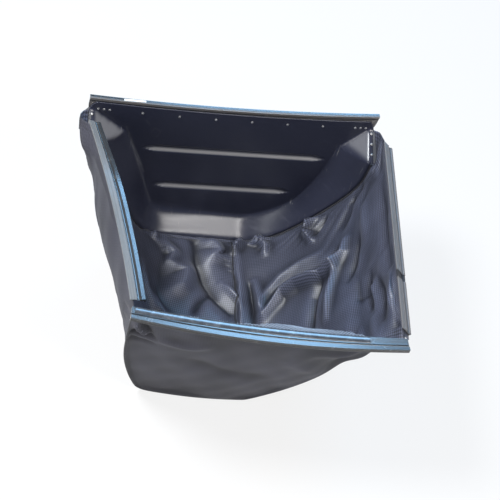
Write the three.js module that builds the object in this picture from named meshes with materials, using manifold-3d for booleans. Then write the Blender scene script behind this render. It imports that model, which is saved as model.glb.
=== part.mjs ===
// Grass collection bag of a ride-on mower, standing empty on its closed end with the mouth upwards.
// A deep-drawn plastic panel forms the far wall. Two fabric strips, joined by a seam across the floor, run from
// one side of the mouth round the bottom to the other, and a fabric front closes them. Clip rails edge the mouth.
// Millimetres. +Z points out of the mouth, +Y towards the panel, and +X to the right, seen from the front.
import * as THREE from "three";
import { mergeVertices } from "three/addons/utils/BufferGeometryUtils.js";
import Module from "manifold-3d";

const wasm = await Module();
wasm.setup();

// Driving sizes of the whole bag
const bagHeight = 436; // the panel's top edge above the ground
const panelFace = 318; // y of the panel's inner face
const clearance = 0.4; // left between pieces that touch
const seatGap = 0.3; // under the heads of the rivets

// Plastic panel
const panelThickness = 2.6;
const panelLipWidth = 14; // flange round the drawn wall, where the fabric is fastened
const drawnDepthAtMouth = 77;
const drawnDepthAtBottom = 53;
const flareX = 336; // the corner flares start here, this far below the top edge
const flareDrop = 25;
const flareFold = 3;
const flareLipX = 348;
const cornerX = 342;
const cornerRound = 9;
const cornerColumns = { top: [312, 324], below: [324, 333] }; // x of the flat points inside its rounded top corners
const rimSteps = { side: 13, bottomRight: 1, bottomLeft: 4 };
// x and share of the bag's height of points on the two sides of each outline, from its right mouth end to its left
const creaseShape = {
  right: [
    [283, 0.78],
    [268, 0.569],
    [234, 0.381],
    [178, 0.211],
    [112, 0.1055],
  ],
  left: [
    [-112, 0.1147],
    [-131, 0.1743],
    [-148, 0.2752],
    [-192, 0.5413],
    [-250, 0.7867],
  ],
};
const rimShape = {
  right: [
    [333, 0.8555],
    [334, 0.688],
    [310, 0.523],
    [245, 0.2752],
    [178, 0.1009],
  ],
  left: [
    [-152, 0.1055],
    [-236, 0.4587],
    [-306, 0.688],
    [-333, 0.8555],
  ],
};
const rimFloorX = 112; // half the width of the drawn wall's level bottom
const ribDepth = 8;
const ribMouthWidth = 25;
const ribFloorWidth = 8;
const ribTaper = 30;
const ribEndShare = 0.4; // size of a rib's ends against its middle
const ribs = [
  { height: 0.665 * bagHeight, start: -197, end: 262 },
  { height: 0.358 * bagHeight, start: -142, end: 208 },
];

// Clip rails: a flat flange fastened to the bag, a trough that snaps over the mower's frame, and a ribbed lip
const flangeThickness = 2.4;
const railWall = 2.2;
const stepHeight = 0.8;
const lipHeight = 1.6;
const lipDrop = 9;
const lipBevel = 1;
const troughDepth = 2.2;
const troughSteps = 6;
const shoulder = 1.6; // width of the edge on each side of the trough
const stepRun = 0.4;
const ridgeHeight = 0.7;
const ridgeWidth = 1.3;
const ridgeSlope = 0.3;
const ridgeSpacing = 2.9;
const firstRidge = 2.4; // below the lip's top
const sideFlange = 16;
const sideTrough = 11;
const sideLip = 5;
const frontFlange = 17;
const frontTrough = 4;
const frontLip = 10;
const panelRailFlange = 42;
const panelRailTrough = 3;
const panelRailLip = 7;
const panelRailHalfLength = 351;
const panelRailRise = 13; // its right end stands higher than its left end

// Places of the rails round the mouth
const mouthTop = bagHeight + 3.4; // top faces of the flanges
const leftRail = { far: [-351, 254], near: [-309, -240], bow: 3 };
const rightRail = { far: [350, 246], near: [290, -290], roll: 42, rise: 11 };
const rightRailGap = { start: 378, length: 20 }; // distance from its far end to the gap between its two pieces
const frontRail = { left: [-308, -254], right: [300, -311], bow: 13 };

// Fabric
const fabricThickness = 2;
const weltRadius = 2.4; // piping sewn into each long seam
const weltSides = 8;
const frontShape = {
  right: [
    [240, 0.9037],
    [206, 0.7569],
    [179, 0.4908],
    [128, 0.2248],
  ],
  left: [
    [-238, 0.2225],
    [-276, 0.5115],
  ],
};
const frontTopX = { left: -304, right: 294 };
const frontFloorX = { left: -190, right: 62 };
const frontInset = 11; // the front hangs this far outside the inner edge of its rail's flange
const frontLean = 0.225; // the front leans inwards by this much for each millimetre down
const frontBelly = 20; // its outward sag
const wallBelly = 13; // outward sag of the side walls
const stripColumns = 9;
const frontColumns = 13;
const stripStart = 0.045; // shares of a side rail's length between which a strip hangs from it
const stripEnd = 0.985;
const floorSeamX = 92; // at the panel
const floorSeamDrift = 46; // at the front, the seam lies this far to the left of that
const wallSpan = [40, 220]; // heights between which the floor turns into the side walls
const wallBellySpan = 260; // the side walls' sag reaches this far down from the mouth
const floorSag = 12;
const foldEnds = [0.15, 0.85]; // shares of half a wave with which a fold starts and ends
const bandWidth = 34; // netting inside the front hem
const bandThickness = 1.2;
const bandLean = 12; // its lower edge hangs this far in from its upper edge
const bandSpan = [-186, 196];
const hemSpan = [-300, 212];
const hemThickness = 1;
const hemMargin = 0.5; // from the flange's free edge

// Rivets
const rivetHeadRadius = 4.2;
const rivetHeadHeight = 1.8;
const rivetShankRadius = 1.9;
const rivetTailRadius = 3.1;
const rivetTailHeight = 1.2;
const rivetSides = 10;
const rivetDrop = 22; // centres below the panel's top edge
const rivetPitch = 88;
const rivetCount = 6;
const rivetRowMiddle = -2;
const cornerRivetX = 327;
const cornerRivetPitch = 13.5;
const cornerRivetCount = 3;
const lipRivetPlaces = [0.16, 0.46, 0.76]; // shares of the way down the lip's slanted end
const lipRivetX = 341.5;

// Small trim
const tabThickness = 2;
const tabReach = { left: 24, right: 12 }; // how far each corner tab stands out past the panel's lip
const tabInset = 12;
const tabSpan = [-34, 26]; // from its upper to its lower end, along the lip's slanted end
const tabGap = 0.8; // to the curved underside of the lip
const tabHoleRadius = 4.5;
const tabPlace = 0.42; // share of the way down the lip's slanted end
const tabShoulder = 26; // from its upper end down to where it starts to stand out
const tabCorner = [6, 10]; // cut off its free corners
const labelSize = [52, 6.4, 0.5];
const labelX = -246;
const labelSetBack = 3.4; // its middle, from the front of the panel's rail
const pullTabSize = [3, 1.6, 12];
const pullTabPlace = 0.94; // share of the way up the front's left seam
const pullTabInset = 5; // from the front's left seam

const materials = {
  panel: new THREE.MeshStandardMaterial({ color: 0x23252b, roughness: 0.38, metalness: 0 }),
  rail: new THREE.MeshStandardMaterial({ color: 0x5a5e62, roughness: 0.3, metalness: 0 }),
  fabric: new THREE.MeshStandardMaterial({ color: 0x2a2b31, roughness: 0.8, metalness: 0 }),
  welt: new THREE.MeshStandardMaterial({ color: 0x1d1e22, roughness: 0.7, metalness: 0 }),
  netting: new THREE.MeshStandardMaterial({ color: 0x1b1d22, roughness: 0.6, metalness: 0 }),
  webbing: new THREE.MeshStandardMaterial({ color: 0x6b6e74, roughness: 0.7, metalness: 0 }),
  rivet: new THREE.MeshStandardMaterial({ color: 0xb4b6b8, roughness: 0.35, metalness: 0.9 }),
  label: new THREE.MeshStandardMaterial({ color: 0xf2f2f0, roughness: 0.6, metalness: 0 }),
  pullTab: new THREE.MeshStandardMaterial({ color: 0xb5402f, roughness: 0.8, metalness: 0 }),
};

const bag = new THREE.Group();
const zAxis = new THREE.Vector3(0, 0, 1);

function addPiece(name, geometry, material) {
  const mesh = new THREE.Mesh(geometry, material);
  mesh.name = name;
  bag.add(mesh);
}

// Geometry helpers

function blend(a, b, t) {
  return a + (b - a) * t;
}

function geometryOf(points, faces) {
  const geometry = new THREE.BufferGeometry();
  const flat = points.flatMap((p) => [p.x, p.y, p.z]);
  geometry.setAttribute("position", new THREE.Float32BufferAttribute(flat, 3));
  geometry.setIndex(faces.flat());
  return geometry;
}

// The faces, turned round if they point into the closed shape.
function facingOut(points, faces) {
  const cross = new THREE.Vector3();
  const volume = faces.reduce((sum, [a, b, c]) => sum + points[a].dot(cross.crossVectors(points[b], points[c])), 0);
  return volume < 0 ? faces.map(([a, b, c]) => [a, c, b]) : faces;
}

// A closed skin of even thickness round an open surface, half of it on each side.
function thicken(points, faces, thickness) {
  const normals = points.map(() => new THREE.Vector3());
  for (const face of faces) {
    for (let i = 0; i < 3; i++) {
      const [a, b, c] = [face[i], face[(i + 1) % 3], face[(i + 2) % 3]];
      const ab = new THREE.Vector3().subVectors(points[b], points[a]);
      const ac = new THREE.Vector3().subVectors(points[c], points[a]);
      const angle = ab.angleTo(ac);
      normals[a].addScaledVector(ab.cross(ac).normalize(), angle);
    }
  }
  normals.forEach((n) => n.normalize());
  const count = points.length;
  const all = [1, -1].flatMap((side) => {
    return points.map((p, i) => p.clone().addScaledVector(normals[i], (side * thickness) / 2));
  });
  const skin = [...faces, ...faces.map(([a, b, c]) => [a + count, c + count, b + count])];
  const edges = new Set(faces.flatMap(([a, b, c]) => [`${a},${b}`, `${b},${c}`, `${c},${a}`]));
  for (const edge of edges) {
    const [a, b] = edge.split(",").map(Number);
    if (!edges.has(`${b},${a}`)) skin.push([b, a, a + count], [b, a + count, b + count]);
  }
  return geometryOf(all, facingOut(all, skin));
}

// Points and faces of a surface given as rows of equally many points.
function gridSurface(rows) {
  const columns = rows[0].length;
  const faces = [];
  for (let r = 0; r + 1 < rows.length; r++) {
    for (let c = 0; c + 1 < columns; c++) {
      const a = r * columns + c;
      faces.push([a, a + 1, a + columns + 1], [a, a + columns + 1, a + columns]);
    }
  }
  return { points: rows.flat(), faces };
}

// A section of [u, v] points carried along a path of frames, each with a point, an `across` and an `up` direction.
function sweep(section, frames) {
  const points = frames.flatMap(({ point, across, up }) => {
    return section.map(([u, v]) => point.clone().addScaledVector(across, u).addScaledVector(up, v));
  });
  const count = section.length;
  const faces = [];
  for (let i = 0; i + 1 < frames.length; i++) {
    for (let j = 0; j < count; j++) {
      const a = i * count + j;
      const b = i * count + ((j + 1) % count);
      faces.push([a, b, b + count], [a, b + count, a + count]);
    }
  }
  const outline = section.map(([u, v]) => new THREE.Vector2(u, v));
  const anticlockwise = THREE.ShapeUtils.area(outline) > 0;
  const last = (frames.length - 1) * count;
  for (const [a, b, c] of THREE.ShapeUtils.triangulateShape(outline, [])) {
    faces.push(anticlockwise ? [a, c, b] : [a, b, c]);
    faces.push(anticlockwise ? [a + last, b + last, c + last] : [a + last, c + last, b + last]);
  }
  return geometryOf(points, facingOut(points, faces));
}

function solidOf(geometry) {
  const bare = new THREE.BufferGeometry();
  bare.setAttribute("position", geometry.attributes.position);
  bare.setIndex(geometry.index);
  const merged = mergeVertices(bare, 1e-4);
  const vertProperties = merged.attributes.position.array;
  const triVerts = new Uint32Array(merged.index.array);
  return new wasm.Manifold(new wasm.Mesh({ numProp: 3, vertProperties, triVerts }));
}

function geometryOfSolid(solid) {
  const mesh = solid.getMesh();
  const geometry = new THREE.BufferGeometry();
  geometry.setAttribute("position", new THREE.BufferAttribute(mesh.vertProperties, 3));
  geometry.setIndex(new THREE.BufferAttribute(mesh.triVerts, 1));
  return geometry;
}

// Outlines of the bag, seen from the front: x to the right, z up. Each has two curved sides and a level bottom,
// and runs from the right side's mouth end over the bottom to the left side's mouth end.

function outline(right, left) {
  const curve = (points) => new THREE.SplineCurve(points.map(([x, z]) => new THREE.Vector2(x, z)));
  return { right: curve(right), left: curve(left) };
}

// Points of an outline whose heights are shares of the bag's height.
function raised(points) {
  return points.map(([x, share]) => [x, share * bagHeight]);
}

// Edge between the panel's flat face and its drawn wall, below the corner flares.
const crease = outline(raised(creaseShape.right), raised(creaseShape.left));

// Outer edge of the panel's drawn wall.
const rim = outline(
  [...raised(rimShape.right), [rimFloorX, panelLipWidth]],
  [[-rimFloorX, panelLipWidth], ...raised(rimShape.left)],
);

// Edge of the fabric front. Its mouth ends meet the ends of the front rail.
const fabricTop = mouthTop - flangeThickness - clearance;
const seamTop = fabricTop - weltRadius - 2 * clearance; // the piping ends below the rails
const front = outline(
  [[frontTopX.right, seamTop], ...raised(frontShape.right), [frontFloorX.right, fabricThickness]],
  [[frontFloorX.left, fabricThickness], ...raised(frontShape.left), [frontTopX.left, seamTop]],
);

// Points of an outline, each with its outward direction.
function sample({ right, left }, { side, bottomRight, bottomLeft }, seamX) {
  const corner = right.getPoint(1);
  const end = left.getPoint(0);
  const seam = new THREE.Vector2(seamX, blend(corner.y, end.y, 0.5));
  const between = (a, b, steps) => Array.from({ length: steps }, (_, i) => a.clone().lerp(b, (i + 1) / steps));
  const points = [
    ...right.getSpacedPoints(side),
    ...between(corner, seam, bottomRight),
    ...between(seam, end, bottomLeft),
    ...left.getSpacedPoints(side).slice(1),
  ];
  // Both mouth ends stand upright.
  const upright = { [0]: new THREE.Vector2(0, -1), [points.length - 1]: new THREE.Vector2(0, 1) };
  return points.map((p, i) => {
    const along = upright[i] ?? points[i + 1].clone().sub(points[i - 1]).normalize();
    return { x: p.x, z: p.y, outX: -along.y, outZ: along.x };
  });
}

const seamXAt = { panel: floorSeamX, front: floorSeamX - floorSeamDrift };
const creasePoints = sample(crease, rimSteps, seamXAt.panel);
const rimPoints = sample(rim, rimSteps, seamXAt.panel);
const frontPoints = sample(front, rimSteps, seamXAt.front);
const seamIndex = rimSteps.side + rimSteps.bottomRight;

function drawnDepth(z) {
  return blend(drawnDepthAtBottom, drawnDepthAtMouth, z / rim.right.getPoint(0).y);
}

// y of the front's middle surface, which is skewed with its rail.
function frontFace(x, z) {
  const [xLeft, yLeft] = frontRail.left;
  const [xRight, yRight] = frontRail.right;
  const railY = blend(yLeft, yRight, (x - xLeft) / (xRight - xLeft));
  return railY - frontInset + frontLean * (fabricTop - z);
}

// Plastic panel

// Where the slanted end of the lip runs: from the flare's top to the mouth end of the drawn wall.
function lipSlant(sign, t, x) {
  const top = new THREE.Vector3(sign * x, panelFace, bagHeight - flareDrop);
  const end = new THREE.Vector3(sign * x, panelFace - drawnDepthAtMouth, rim.right.getPoint(0).y);
  return top.lerp(end, t);
}

function lipSlantNormal() {
  const rise = bagHeight - flareDrop - rim.right.getPoint(0).y;
  return new THREE.Vector3(0, -rise, drawnDepthAtMouth).normalize();
}

function panelShell() {
  const y = panelFace + panelThickness / 2;
  const at = (x, z, drop = 0) => new THREE.Vector3(x, y - drop, z);
  const corner = (sign) => {
    const rows = [
      [...cornerColumns.top, cornerX - cornerRound, bagHeight],
      [...cornerColumns.below, cornerX, bagHeight - cornerRound],
      [flareX, flareX + flareFold, flareLipX, bagHeight - flareDrop],
    ];
    return rows.map(([inner, middle, outer, z]) => [at(sign * inner, z), at(sign * middle, z), at(sign * outer, z)]);
  };
  const wall = rimPoints.map((r, i) => {
    const c = creasePoints[i];
    const depth = drawnDepth(r.z);
    const lip = at(r.x + r.outX * panelLipWidth, r.z + r.outZ * panelLipWidth, depth);
    return [at(c.x, c.z), at(r.x, r.z, depth), lip];
  });
  const rings = [...corner(1), ...wall, ...corner(-1).reverse()];
  const grid = gridSurface(rings);
  const contour = rings.map((ring) => new THREE.Vector2(ring[0].x, ring[0].z));
  const flat = THREE.ShapeUtils.triangulateShape(contour, []).map((face) => face.map((i) => i * 3));
  // Both the flat face and the wall have to turn the same way along the crease they share.
  const wallEdges = new Set(grid.faces.flatMap(([a, b, c]) => [`${a},${b}`, `${b},${c}`, `${c},${a}`]));
  const clash = flat.some(([a, b, c]) => [`${a},${b}`, `${b},${c}`, `${c},${a}`].some((edge) => wallEdges.has(edge)));
  const faces = [...grid.faces, ...flat.map(([a, b, c]) => (clash ? [a, c, b] : [a, b, c]))];
  return thicken(grid.points, faces, panelThickness);
}

// A bar along X with tapered ends, from `front` to `back` behind the panel's face.
function ribBar({ height, start, end }, wall, front, back) {
  const ring = (x, share) => {
    const mouth = share * (ribMouthWidth / 2 + wall);
    const floor = share * (ribFloorWidth / 2 + wall);
    const depth = front + (back - front) * share;
    return [
      new THREE.Vector3(x, panelFace + front, height - mouth),
      new THREE.Vector3(x, panelFace + depth, height - floor),
      new THREE.Vector3(x, panelFace + depth, height + floor),
      new THREE.Vector3(x, panelFace + front, height + mouth),
    ];
  };
  const stations = [
    [start - wall, ribEndShare],
    [start + ribTaper, 1],
    [end - ribTaper, 1],
    [end + wall, ribEndShare],
  ];
  const points = stations.flatMap(([x, share]) => ring(x, share));
  const faces = [
    [0, 1, 2],
    [0, 2, 3],
    [12, 14, 13],
    [12, 15, 14],
  ];
  for (let s = 0; s < 3; s++) {
    for (let j = 0; j < 4; j++) {
      const a = s * 4 + j;
      const b = s * 4 + ((j + 1) % 4);
      faces.push([a, a + 4, b + 4], [a, b + 4, b]);
    }
  }
  return solidOf(geometryOf(points, facingOut(points, faces)));
}

// Rivets

// Places of all rivets: the middle of each on the panel's inner face, its outward direction and its grip.
function rivetPlaces() {
  const z = bagHeight - rivetDrop;
  const out = new THREE.Vector3(0, -1, 0);
  const railGrip = panelThickness + clearance + flangeThickness;
  const flat = (x) => ({ at: new THREE.Vector3(x, panelFace, z), out, grip: railGrip });
  const places = [];
  for (let i = 0; i < rivetCount; i++) {
    const x = rivetRowMiddle + (i - (rivetCount - 1) / 2) * rivetPitch;
    places.push({ name: `rivet_row_${i + 1}`, ...flat(x) });
  }
  for (const [side, sign] of [
    ["left", -1],
    ["right", 1],
  ]) {
    for (let i = 0; i < cornerRivetCount; i++) {
      places.push({ name: `rivet_${side}_corner_${i + 1}`, ...flat(sign * (cornerRivetX - i * cornerRivetPitch)) });
    }
    lipRivetPlaces.forEach((t, i) => {
      const normal = lipSlantNormal();
      const at = lipSlant(sign, t, lipRivetX);
      at.y += panelThickness / 2;
      at.addScaledVector(normal, panelThickness / 2);
      const grip = panelThickness + tabGap + tabThickness;
      places.push({ name: `rivet_${side}_lip_${i + 1}`, at, out: normal, grip });
    });
  }
  return places;
}

function turned(points, { at, out }) {
  const geometry = new THREE.LatheGeometry(
    points.map(([r, h]) => new THREE.Vector2(r, h)),
    rivetSides,
  );
  const turn = new THREE.Quaternion().setFromUnitVectors(new THREE.Vector3(0, 1, 0), out);
  geometry.applyQuaternion(turn);
  geometry.translate(at.x, at.y, at.z);
  return solidOf(geometry);
}

function rivetHole(place) {
  const radius = rivetShankRadius + clearance;
  return turned(
    [
      [0, -place.grip - 2],
      [radius, -place.grip - 2],
      [radius, 2],
      [0, 2],
    ],
    place,
  );
}

function rivetBody(place) {
  const bottom = -place.grip - seatGap;
  return turned(
    [
      [0, bottom - rivetTailHeight],
      [rivetTailRadius, bottom - rivetTailHeight],
      [rivetTailRadius, bottom],
      [rivetShankRadius, bottom],
      [rivetShankRadius, seatGap],
      [rivetHeadRadius, seatGap],
      [rivetHeadRadius * 0.72, seatGap + rivetHeadHeight * 0.75],
      [0, seatGap + rivetHeadHeight],
    ],
    place,
  );
}

function drilled(solid, places) {
  return places.reduce((rest, place) => rest.subtract(rivetHole(place)), solid);
}

function buildPanel(places) {
  let panel = solidOf(panelShell());
  for (const rib of ribs) {
    panel = panel.add(ribBar(rib, panelThickness, 1, ribDepth + panelThickness));
  }
  for (const rib of ribs) {
    panel = panel.subtract(ribBar(rib, 0, -1, ribDepth));
  }
  addPiece("plastic_panel", geometryOfSolid(drilled(panel, places)), materials.panel);
}

function buildRivets(places) {
  for (const place of places) {
    addPiece(place.name, geometryOfSolid(rivetBody(place)), materials.rivet);
  }
}

// Rails

// Section of a rail. u runs from the flange's free edge to the lip, and v is measured from the flange's top.
function railSection(flange, trough, lip) {
  const lipStart = flange + trough + shoulder;
  const width = lipStart + lip;
  const bottom = [];
  for (let i = 0; i <= troughSteps; i++) {
    const t = i / troughSteps;
    const u = flange + shoulder - stepRun + trough * t;
    bottom.push([u, stepHeight - (troughDepth + stepHeight) * Math.sin(Math.PI * t) ** 0.6]);
  }
  const ridges = [];
  for (let v = lipHeight - firstRidge; v - ridgeWidth > lipBevel - lipDrop; v -= ridgeSpacing) {
    const top = width + ridgeHeight;
    const foot = v - ridgeWidth;
    ridges.push([width, v], [top, v - ridgeSlope], [top, foot], [width, foot - ridgeSlope]);
  }
  return [
    [0, -flangeThickness],
    [0, 0],
    [flange, 0],
    [flange + stepRun, stepHeight],
    ...bottom,
    [lipStart, lipHeight],
    [width - lipBevel, lipHeight],
    [width, lipHeight - lipBevel],
    ...ridges,
    [width, -lipDrop],
    [width - railWall, -lipDrop],
    [width - railWall, -troughDepth - railWall],
    [flange + shoulder, -troughDepth - railWall],
    [flange, -flangeThickness],
  ];
}

// Frames along a rail. `outwards` points from the flange's free edge to the lip, and `roll` lowers the lip.
function railFrames({ from, to, outwards, roll = 0, bow = 0, steps = 1 }) {
  const points = Array.from({ length: steps + 1 }, (_, i) => {
    const t = i / steps;
    return new THREE.Vector3().lerpVectors(from, to, t).addScaledVector(outwards, bow * 4 * t * (1 - t));
  });
  const angle = THREE.MathUtils.degToRad(roll);
  return points.map((point, i) => {
    const along = points[Math.min(i + 1, steps)].clone().sub(points[Math.max(i - 1, 0)]).normalize();
    const level = new THREE.Vector3().crossVectors(zAxis, along).normalize();
    if (level.dot(outwards) < 0) level.negate();
    const across = level.clone().multiplyScalar(Math.cos(angle)).addScaledVector(zAxis, -Math.sin(angle));
    const up = zAxis.clone().multiplyScalar(Math.cos(angle)).addScaledVector(level, Math.sin(angle));
    return { point, across, up };
  });
}

function railPoint([x, y], z) {
  return new THREE.Vector3(x, y, z);
}

const frontRailFrames = railFrames({
  from: railPoint(frontRail.left, mouthTop),
  to: railPoint(frontRail.right, mouthTop),
  outwards: new THREE.Vector3(0, -1, 0),
  bow: frontRail.bow,
  steps: 12,
});

const leftRailFrames = railFrames({
  from: railPoint(leftRail.far, mouthTop),
  to: railPoint(leftRail.near, mouthTop),
  outwards: new THREE.Vector3(1, 0, 0),
  bow: leftRail.bow,
  steps: 6,
});

// A stretch of the right rail, between two distances from its far end.
function rightRailFrames(start, end) {
  const far = railPoint(rightRail.far, mouthTop + rightRail.rise);
  const near = railPoint(rightRail.near, mouthTop + rightRail.rise);
  const length = far.distanceTo(near);
  return railFrames({
    from: new THREE.Vector3().lerpVectors(far, near, start / length),
    to: new THREE.Vector3().lerpVectors(far, near, Math.min(end / length, 1)),
    outwards: new THREE.Vector3(1, 0, 0),
    roll: rightRail.roll,
  });
}

function buildRails(places) {
  const side = railSection(sideFlange, sideTrough, sideLip);
  addPiece("left_rail", sweep(side, leftRailFrames), materials.rail);
  addPiece("right_rail_long", sweep(side, rightRailFrames(0, rightRailGap.start)), materials.rail);
  const shortStart = rightRailGap.start + rightRailGap.length;
  addPiece("right_rail_short", sweep(side, rightRailFrames(shortStart, Infinity)), materials.rail);
  addPiece("front_rail", sweep(railSection(frontFlange, frontTrough, frontLip), frontRailFrames), materials.rail);
  // The panel's rail stands upright behind the panel, so its section is turned: the lip is on top.
  const y = panelFace + panelThickness + clearance;
  const z = bagHeight + clearance - panelRailFlange;
  const frame = (sign) => ({
    point: new THREE.Vector3(sign * panelRailHalfLength, y, z + (sign > 0 ? panelRailRise : 0)),
    across: zAxis,
    up: new THREE.Vector3(0, -1, 0),
  });
  const section = railSection(panelRailFlange, panelRailTrough, panelRailLip);
  const rail = solidOf(sweep(section, [frame(-1), frame(1)]));
  addPiece("panel_rail", geometryOfSolid(drilled(rail, places)), materials.rail);
}

// Fabric

// Soft folds standing on the floor, each along a line seen from above.
const folds = [
  { from: [70, 236], to: [-30, -20], height: 22, width: 32 },
  { from: [230, 150], to: [60, -90], height: 26, width: 30 },
  { from: [170, 215], to: [125, 90], height: 16, width: 22 },
  { from: [-70, 190], to: [-120, 40], height: 18, width: 28 },
  { from: [10, 100], to: [-50, -110], height: 14, width: 26 },
];

function foldHeight(x, y) {
  return folds.reduce((sum, { from, to, height, width }) => {
    const [dx, dy] = [to[0] - from[0], to[1] - from[1]];
    const share = ((x - from[0]) * dx + (y - from[1]) * dy) / (dx * dx + dy * dy);
    const along = THREE.MathUtils.clamp(share, 0, 1);
    const away = Math.hypot(x - from[0] - along * dx, y - from[1] - along * dy);
    return sum + height * Math.exp(-((away / width) ** 2)) * Math.sin(Math.PI * blend(...foldEnds, along));
  }, 0);
}

// Half the width that a seam takes: the piping and the gap beside it.
const seamHalf = weltRadius + clearance;

// A strip's far edge lies on the panel's lip, beyond the piping, and its near edge behind the front.
function stripRow(i) {
  const r = rimPoints[i];
  const f = frontPoints[i];
  const lip = panelLipWidth / 2;
  const farY = panelFace - drawnDepth(r.z) - 2 * seamHalf - clearance;
  const far = new THREE.Vector3(r.x + r.outX * lip, farY, r.z + r.outZ * lip);
  const nearY = frontFace(f.x, f.z) + fabricThickness / 2 + clearance + 2 * seamHalf;
  const near = new THREE.Vector3(f.x, nearY, f.z);
  const ground = fabricThickness / 2;
  const sign = i <= rimSteps.side ? 1 : i >= seamIndex + rimSteps.bottomLeft ? -1 : 0;
  return Array.from({ length: stripColumns }, (_, c) => {
    const v = c / (stripColumns - 1);
    const p = new THREE.Vector3().lerpVectors(far, near, v);
    const slack = Math.sin(Math.PI * v);
    const wall = THREE.MathUtils.smoothstep(p.z, ...wallSpan);
    const bulge = wallBelly * slack * Math.sin(Math.PI * Math.min((fabricTop - p.z) / wallBellySpan, 1));
    const lift = foldHeight(p.x, p.y) * slack;
    p.x += sign * (bulge - (lift / 2) * wall);
    p.z = Math.max(p.z - floorSag * slack * (1 - wall), ground) + lift * (1 - wall);
    return p;
  });
}

// The strip's top edge, under the flange of its rail. The last column is at the front seam.
function mouthRow(frameAt, depth, under, nearEnd) {
  return Array.from({ length: stripColumns }, (_, c) => {
    const v = c / (stripColumns - 1);
    if (v === 1) return nearEnd;
    const { point, across, up } = frameAt(blend(stripStart, stripEnd, v));
    return point.clone().addScaledVector(across, depth).addScaledVector(up, -under);
  });
}

function frameBetween(frames) {
  return (t) => {
    const place = t * (frames.length - 1);
    const i = Math.min(Math.floor(place), frames.length - 2);
    const point = new THREE.Vector3().lerpVectors(frames[i].point, frames[i + 1].point, place - i);
    return { ...frames[i], point };
  };
}

function buildStrips() {
  const last = rimPoints.length - 1;
  const rows = rimPoints.map((_, i) => stripRow(i));
  const under = flangeThickness + clearance;
  const roll = THREE.MathUtils.degToRad(rightRail.roll);
  const rightUnder = under + (fabricThickness / 2) * Math.sin(roll);
  const right = [
    mouthRow(frameBetween(rightRailFrames(0, Infinity)), sideFlange / 2, rightUnder, rows[0][stripColumns - 1]),
    ...rows.slice(1, seamIndex + 1),
  ];
  const left = [
    ...rows.slice(seamIndex, last),
    mouthRow(frameBetween(leftRailFrames), sideFlange / 2, under, rows[last][stripColumns - 1]),
  ];
  const shift = (row, by) => row.map((p) => new THREE.Vector3(p.x + by, p.y, p.z));
  right[right.length - 1] = shift(right[right.length - 1], clearance / 2);
  left[0] = shift(left[0], -clearance / 2);
  for (const [name, grid] of [
    ["right_strip_fabric", right],
    ["left_strip_fabric", left],
  ]) {
    const { points, faces } = gridSurface(grid);
    addPiece(name, thicken(points, faces, fabricThickness), materials.fabric);
  }
}

function buildFront() {
  const last = frontPoints.length - 1;
  const pairs = Array.from({ length: rimSteps.side + 1 }, (_, i) => [frontPoints[i], frontPoints[last - i]]);
  const [topRight, topLeft] = pairs[0];
  pairs.unshift([
    { x: topRight.x, z: fabricTop },
    { x: topLeft.x, z: fabricTop },
  ]);
  const rows = pairs.map(([right, left]) => {
    return Array.from({ length: frontColumns }, (_, c) => {
      const v = c / (frontColumns - 1);
      const x = blend(right.x, left.x, v);
      const z = blend(right.z, left.z, v);
      const share = z / fabricTop;
      const bow = frontRail.bow * Math.sin(Math.PI * v) * THREE.MathUtils.smoothstep(share, 0.5, 1);
      const belly = frontBelly * Math.sin(Math.PI * v) * Math.sin(Math.PI * THREE.MathUtils.clamp(1 - share, 0, 1));
      return new THREE.Vector3(x, frontFace(x, z) - belly - bow, z);
    });
  });
  const { points, faces } = gridSurface(rows);
  addPiece("front_fabric", thicken(points, faces, fabricThickness), materials.fabric);
}

// Piping in the two long seams.
function buildWelts() {
  const section = Array.from({ length: weltSides }, (_, i) => {
    const angle = (2 * Math.PI * i) / weltSides;
    return [weltRadius * Math.cos(angle), weltRadius * Math.sin(angle)];
  });
  const up = new THREE.Vector3(0, 1, 0);
  const frames = (points, at) => {
    return points.map((p) => ({ point: at(p), across: new THREE.Vector3(p.outX, 0, p.outZ), up }));
  };
  const lip = panelLipWidth / 2;
  const onLip = (p) => {
    const y = panelFace - drawnDepth(p.z) - clearance - weltRadius;
    return new THREE.Vector3(p.x + p.outX * lip, y, p.z + p.outZ * lip);
  };
  const onFront = (p) => {
    const y = frontFace(p.x, p.z) + fabricThickness / 2 + clearance + weltRadius;
    return new THREE.Vector3(p.x, y, Math.max(p.z, weltRadius));
  };
  addPiece("panel_seam_piping", sweep(section, frames(rimPoints, onLip)), materials.welt);
  addPiece("front_seam_piping", sweep(section, frames(frontPoints, onFront)), materials.welt);
}

// Frames of the front rail between two x positions.
function frontRailStretch([from, to], steps) {
  const [left, right] = [frontRail.left[0], frontRail.right[0]];
  const frameAt = frameBetween(frontRailFrames);
  return Array.from({ length: steps + 1 }, (_, i) => frameAt((blend(from, to, i / steps) - left) / (right - left)));
}

function buildFrontTrim() {
  const hem = [
    [hemMargin, clearance],
    [frontFlange - hemMargin, clearance],
    [frontFlange - hemMargin, clearance + hemThickness],
    [hemMargin, clearance + hemThickness],
  ];
  addPiece("front_hem", sweep(hem, frontRailStretch(hemSpan, 10)), materials.fabric);
  const top = -flangeThickness - clearance;
  const band = [
    [1, top],
    [1 + bandThickness, top],
    [1 + bandThickness - bandLean, top - bandWidth],
    [1 - bandLean, top - bandWidth],
  ];
  addPiece("netting_band", sweep(band, frontRailStretch(bandSpan, 8)), materials.netting);
}

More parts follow.
